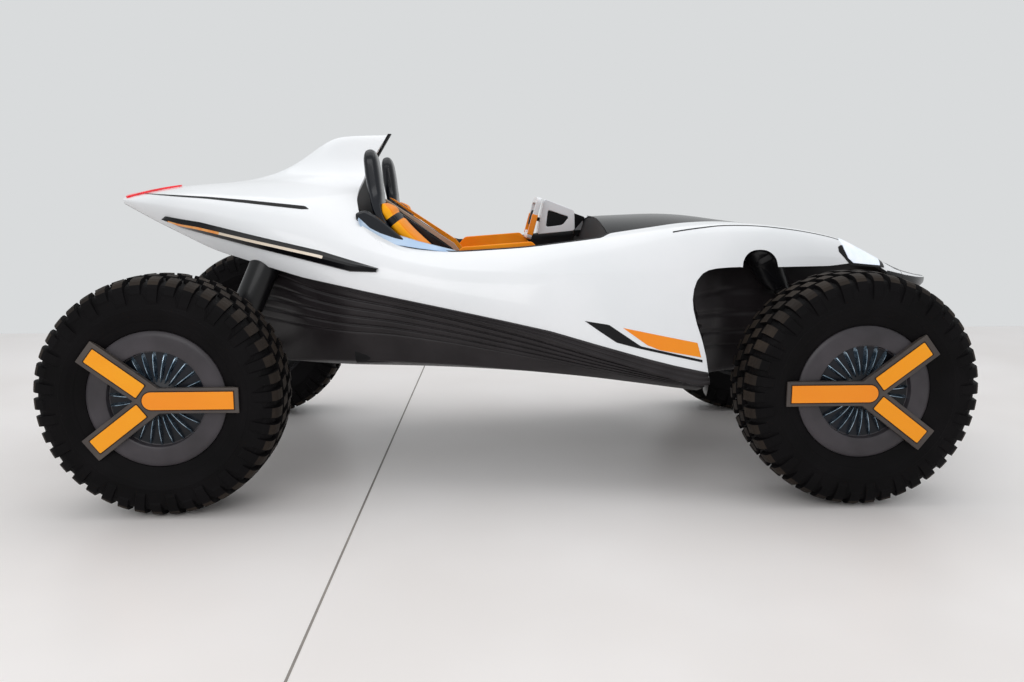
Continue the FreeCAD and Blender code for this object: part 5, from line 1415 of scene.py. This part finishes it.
def seat_shell(name, side):
    """Gloss black bucket with its headrest, wings and stand."""
    at = np.r_[0.0, 0.004, 0.010, 0.018, np.linspace(0.03, 1.0, 90)]
    ease = np.clip(at / 0.045, 0, 1)
    round_off = np.sqrt(1 - (1 - ease) ** 2) * 0.75 + 0.25
    width = swell(at, (0, 0.03, 0.16, 0.24, 0.30, 1.0), SHELL_WIDTHS) * round_off
    thick = swell(at, (0, 0.1, 0.22, 0.35, 1.0), SHELL_THICKNESSES) * round_off
    back = (0.034 + 0.020 * np.clip((at - 0.16) / 0.12, 0, 1))[:, None]
    points = sided(closed_rows(seat_form(at, width, thick, back)[0]), side, SEAT_Y)
    made = sheet("seat_shell_" + name, points, SEAT_GLOSS, "seat_shell", wrap_cols=True)
    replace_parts(sealed(made), "seat_" + name)
    edging = SOFT_TAN if side < 0 else SOFT_ORANGE
    plates = (
        ("seat_stand_", SEAT_STAND, -0.085, 0.085, TRIM_BLACK, 0.012),
        ("outer_wing_", rounded(OUTER_WING, 0.012), 0.138, 0.170, SEAT_GLOSS, 0.009),
        ("inner_wing_", rounded(INNER_WING, 0.010), -0.172, -0.140, SEAT_GLOSS, 0.009),
        ("wing_edge_", rounded(WING_EDGE, 0.003), -0.174, -0.138, edging, 0.004),
    )
    for stem, outline, near, far, finish, edge in plates:
        span = (side * (SEAT_Y + near), side * (SEAT_Y + far))
        plate(stem + name, [outline], span, finish, "seat_shell", edge, 3)
    badge = bar_grid((BADGE_X, side * SEAT_Y, BADGE_Z), (BADGE_X + 1, side * SEAT_Y, BADGE_Z),
                     [(0, 0), (0, 0.010), (0.008, 0.010), (0.012, 0.006), (0.012, 0)], 20)
    sealed(piece("headrest_badge_" + name, *badge, WHITE_PLASTIC, "white_plastic"))


PAD_START, PAD_END, PAD_THICKNESS, PAD_BACK = 0.195, 0.985, 0.056, 0.012
STRIPE_TURNS = np.pi * np.array([0.16, 0.60, 0.74])
CHANNELS = np.array([0.245, 0.272, 0.42, 0.56, 0.70, 0.80, 0.90])


def seat_pad(name, side):
    """Crowned pad with sewn channels between its stripes and across its back."""
    at = np.linspace(PAD_START, PAD_END, 120)
    ease = np.clip((at - PAD_START) / 0.03, 0.05, 1) ** 0.5 * np.clip((PAD_END - at) / 0.02, 0.05, 1) ** 0.5
    width = swell(at, (0, 0.22, 0.30, 1.0), (0.098, 0.118, 0.134, 0.134)) * (0.75 + 0.25 * ease)
    points, wide, deep, turn = seat_form(at, width, PAD_THICKNESS * ease, PAD_BACK, 0.6, 112)
    _, normal = seat_line(at, 0.0)
    sewn = np.exp(-((turn[:, None] - STRIPE_TURNS) / 0.045) ** 2).sum(-1)
    across = np.exp(-((at[:, None] - CHANNELS) / 0.0035) ** 2).sum(-1)
    front = np.clip(deep, 0, 1)
    rise = (0.010 * (1 - wide ** 2) + 0.004 * np.clip(-wide - 0.35, 0, 1)) * front
    rise = rise[None, :] * ease[:, None] - 0.006 * np.clip(sewn[None, :] + across[:, None], 0, 1) * front
    points[..., [0, 2]] += normal[:, None, :] * rise[..., None]
    middle = turn + np.pi / len(turn)
    finish = np.choose(np.digitize(middle, STRIPE_TURNS), (1, 0, 2, 2))
    finish = np.where(middle > 1.6 * np.pi, 1, finish)
    index = np.broadcast_to(finish, (len(at) - 1, len(turn))).copy()
    between = (at[:-1] > CHANNELS[0]) & (at[:-1] < CHANNELS[1])
    index[between] = 2
    index = np.r_[np.full(len(turn), 1), index.ravel(), np.full(len(turn), 0)]
    points = sided(closed_rows(points), side, SEAT_Y)
    made = sheet("cushion_pad_" + name, points, [SOFT_ORANGE, SOFT_YELLOW, SOFT_BLACK, SOFT_TAN],
                 "seat_orange", wrap_cols=True, index=index)
    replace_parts(sealed(made), "cushion_" + name)


for name, side in SIDES:
    seat_shell(name, side)
    seat_pad(name, side)
print("seat pads at y", round(SEAT_Y, 3))

# %% [markdown]
# The steering unit is a white wedge with a triangular window, behind a flat yoke. The yoke
# turns, so it rides on the steering body, and its frame is drawn flat and then tilted by a
# given 15 degrees about the column's point, which the frame gives.

# %% Steering unit
YOKE_AT = np.array(JOINTS["steering_turn"]["pos_m"])
YOKE_TILT = math.radians(15)
YOKE_HALF_W, YOKE_HALF_H, YOKE_BAR = 0.150, 0.106, 0.030
SHROUD_SIDE = ((0.199, 1.198), (0.350, 1.140), (0.354, 1.038), (0.162, 1.020))
SHROUD_WINDOW = ((0.217, 1.142), (0.324, 1.106), (0.292, 1.066), (0.207, 1.056))
SHROUD_DARK = ((0.348, 1.126), (0.404, 1.106), (0.400, 1.012), (0.348, 1.012))
SHROUD_FIN = ((0.394, 1.088), (0.396, 1.040), (0.352, 1.040))
SHROUD_RING = ((0.405, 1.104), (0.426, 1.108), (0.410, 1.008), (0.394, 1.008))
SHROUD_NOSE = ((0.428, 1.113), (0.500, 1.090), (0.484, 1.008), (0.412, 1.002))
SHROUD_HALF = 0.060
STEEL_GREY = moulded("mid grey moulded plastic", "#6E7073", "#7C7E81", 0.4, 1.2, 0.05)


def on_column(points):
    """Carry points drawn as (across, along the column, up) onto the tilted steering axis."""
    across, ahead, up = np.moveaxis(np.asarray(points, float), -1, 0)
    c, s = math.cos(YOKE_TILT), math.sin(YOKE_TILT)
    x = YOKE_AT[0] - SHIFT + ahead * c + up * s
    z = YOKE_AT[2] - ahead * s + up * c
    return xyz(x, YOKE_AT[1] + across, z)


def box_outline(half, low, high):
    """Corners of an upright rectangle about the middle."""
    return [(-half, low), (half, low), (half, high), (-half, high)]


def yoke():
    """Rounded frame, spoke, hub and shaft, and an orange inlay on each grip."""
    w, h, b = YOKE_HALF_W, YOKE_HALF_H, YOKE_BAR
    outer = rounded(box_outline(w, -h, h), 0.030, 8)
    inner = rounded(box_outline(w - b, b - h, h - b), 0.016, 8)
    points, faces = framed(outer, inner, -0.012, 0.012)
    made = piece("yoke_frame", on_column(points), faces, WHITE_PLASTIC, "white_plastic", "steering", False)
    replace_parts(sealed(made), "steering_wheel")
    bevelled(made, 0.0035, 3)
    spoke = box_outline(w - b + 0.004, -0.012, 0.012)
    plate("yoke_spoke", [spoke], (-0.005, 0.007), TRIM_BLACK, "black_trim", 0.003, 2, "steering", on_column)
    hub_profile = [(0, 0), (0, 0.034), (0.004, 0.038), (0.026, 0.038), (0.026, 0)]
    hub = bar_grid((0, -0.014, 0), (0, 1, 0), hub_profile)
    shaft = bar_grid((0, 0, 0), (0, 1, 0), [(0, 0), (0, 0.010), (0.150, 0.010), (0.150, 0)], 20)
    points, faces, _ = joined([(*hub, 0), (*shaft, 0)])
    shade_by_angle(sealed(piece("yoke_hub", on_column(points), faces, TRIM_BLACK, "black_trim", "steering")))
    grip = rounded(box_outline(0.0165, -0.085, 0.020), 0.006)
    plate("yoke_grips", [grip + [w - b / 2, 0], grip - [w - b / 2, 0]], (-0.0142, 0.0142), ORANGE_ENAMEL,
          "seat_orange", 0.003, 2, "steering", on_column)


def shroud():
    """White windowed wedge, its dark lining, and the dark nose with a white ring."""
    middle = YOKE_AT[1]
    points, faces = framed(rounded(SHROUD_SIDE, 0.014), rounded(SHROUD_WINDOW, 0.012),
                           middle - SHROUD_HALF, middle + SHROUD_HALF)
    made = piece("shroud_wedge", points, faces, WHITE_PLASTIC, "white_plastic", smooth=False)
    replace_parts(sealed(made), "steering_shroud")
    bevelled(made, 0.005, 3)
    parts = (
        ("shroud_lining", rounded(SHROUD_WINDOW, 0.006), 0.040, BLACK_ENAMEL),
        ("shroud_neck", rounded(SHROUD_DARK, 0.006), 0.050, BLACK_ENAMEL),
        ("shroud_fin", rounded(SHROUD_FIN, 0.003), 0.053, STEEL_GREY),
        ("shroud_ring", rounded(SHROUD_RING, 0.004), 0.060, WHITE_PLASTIC),
        ("shroud_nose", rounded(SHROUD_NOSE, 0.010), 0.062, TRIM_BLACK),
    )
    for name, outline, half, finish in parts:
        plate(name, [outline], (middle - half, middle + half), finish, "white_plastic", 0.003)


yoke()
shroud()
print("steering unit at", np.round(YOKE_AT, 3))

# %% Camera
CAMERA_AT = (-0.1464, -4.1123, 1.1968)
CAMERA_YAW, CAMERA_PITCH, CAMERA_ROLL = 0.0412, 0.1628, 0.0012
camera_data = bpy.data.cameras.new("camera")
camera_data.sensor_fit = "HORIZONTAL"
camera_data.sensor_width = 36.0
camera_data.lens = 30.415
camera = bpy.data.objects.new("camera", camera_data)
camera.location = (CAMERA_AT[0] + SHIFT, CAMERA_AT[1], CAMERA_AT[2])
camera.rotation_euler = (math.pi / 2 - CAMERA_PITCH, CAMERA_ROLL, -CAMERA_YAW)
bpy.context.collection.objects.link(camera)
bpy.context.scene.camera = camera

# %% Stage
FLOOR_FAR_Y = 3.8
FLOOR_NEAR_Y = -16.0
FLOOR_HALF_X = 18.0
STONE = tinted("pale sealed stone floor", "#F1EDEB", ("#EFEAE7", "#F7F3F1", 1400), roughness=0.36,
               specular_ior_level=0.35)
JOINT_GREY = tinted("floor joint filler", "#8E8884", ("#86807C", "#969089", 200), roughness=0.7)
JOINT_X, JOINT_Y = (-0.554, -0.804), (FLOOR_FAR_Y - 0.01, -6.0)
JOINT_HALF, JOINT_Z = 0.004, 0.0006


def floor_sheet(name, middles, ends, half, z, material):
    """Flat four-sided sheet of the stage between two ends, half a width each way of its middles."""
    mesh = bpy.data.meshes.new(name)
    corners = [(x + shift, y, z) for x, y in zip(middles, ends) for shift in (-half, half)]
    mesh.from_pydata(corners, [], [(0, 1, 3, 2)])
    mesh.materials.append(material)
    made = bpy.data.objects.new(name, mesh)
    bpy.context.collection.objects.link(made)
    return made


floor = floor_sheet("floor", (0, 0), (FLOOR_NEAR_Y, FLOOR_FAR_Y), FLOOR_HALF_X, 0, STONE)
floor_joint = floor_sheet("floor_joint", JOINT_X, JOINT_Y, JOINT_HALF, JOINT_Z, JOINT_GREY)

# %% World and lamps
def lit_world():
    """Pale backdrop for camera, glossy and glass rays; a softer level for all others."""
    world = bpy.data.worlds.new("studio")
    bpy.context.scene.world = world
    world.use_nodes = True
    tree = world.node_tree
    shown = tree.nodes["Background"]
    shown.inputs["Color"].default_value = linear("#D9DBDC")
    fill = add(tree, "Background", values={"Color": linear("#E6E8EA"), "Strength": 0.86})
    path = add(tree, "LightPath")
    seen = path.outputs["Is Camera Ray"]
    for ray in ("Is Glossy Ray", "Is Transmission Ray"):
        seen = add(tree, "Math", {0: seen, 1: path.outputs[ray]}, operation="MAXIMUM").outputs[0]
    mix = add(tree, "MixShader", {0: seen, 1: fill.outputs[0], 2: shown.outputs[0]})
    tree.links.new(mix.outputs[0], tree.nodes["World Output"].inputs["Surface"])


def softbox(name, at, aim, size, watts):
    """Rectangular lamp at a place, turned to face a point."""
    data = bpy.data.lights.new(name, "AREA")
    data.shape, data.energy = "RECTANGLE", watts
    data.size, data.size_y = size
    lamp = bpy.data.objects.new(name, data)
    lamp.location = at
    lamp.rotation_euler = (Vector(aim) - Vector(at)).to_track_quat("-Z", "Y").to_euler()
    bpy.context.collection.objects.link(lamp)


lit_world()
softbox("overhead", (0.0, 0.3, 4.6), (0.0, 0.0, 0.0), (6.5, 4.0), 74)
softbox("front_fill", (-1.5, -5.5, 3.2), (0.0, 0.0, 0.6), (4.0, 2.5), 62)

# %% Finishes on the frame's own pieces
FINISH = {
    "white_paint": WHITE_ENAMEL, "white_plastic": WHITE_PLASTIC, "gloss_black": BLACK_ENAMEL,
    "hull_black": HULL_COMPOSITE, "black_trim": TRIM_BLACK, "tub_trim": TRIM_BLACK, "seat_shell": SEAT_GLOSS,
    "seat_orange": ORANGE_ENAMEL, "battery_case": TRIM_BLACK, "dark_steel": DARK_STEEL, "steel": DARK_STEEL,
    "headlamp_glass": LENS, "tail_lamp_red": RED, "tyre_rubber": RUBBER,
    "rim_dark": RIM_PAINT, "cover_grey": COVER_GREY,
}
SLOT_OF = {row["node"]: row["material_slot"] for row in frame["record"]["subparts"]}
for name, thing in frame["nodes"].items():
    for holder in thing.material_slots:
        holder.material = FINISH[SLOT_OF[name]]

# %% View transform, the last line
bpy.context.scene.view_settings.view_transform = "Standard"
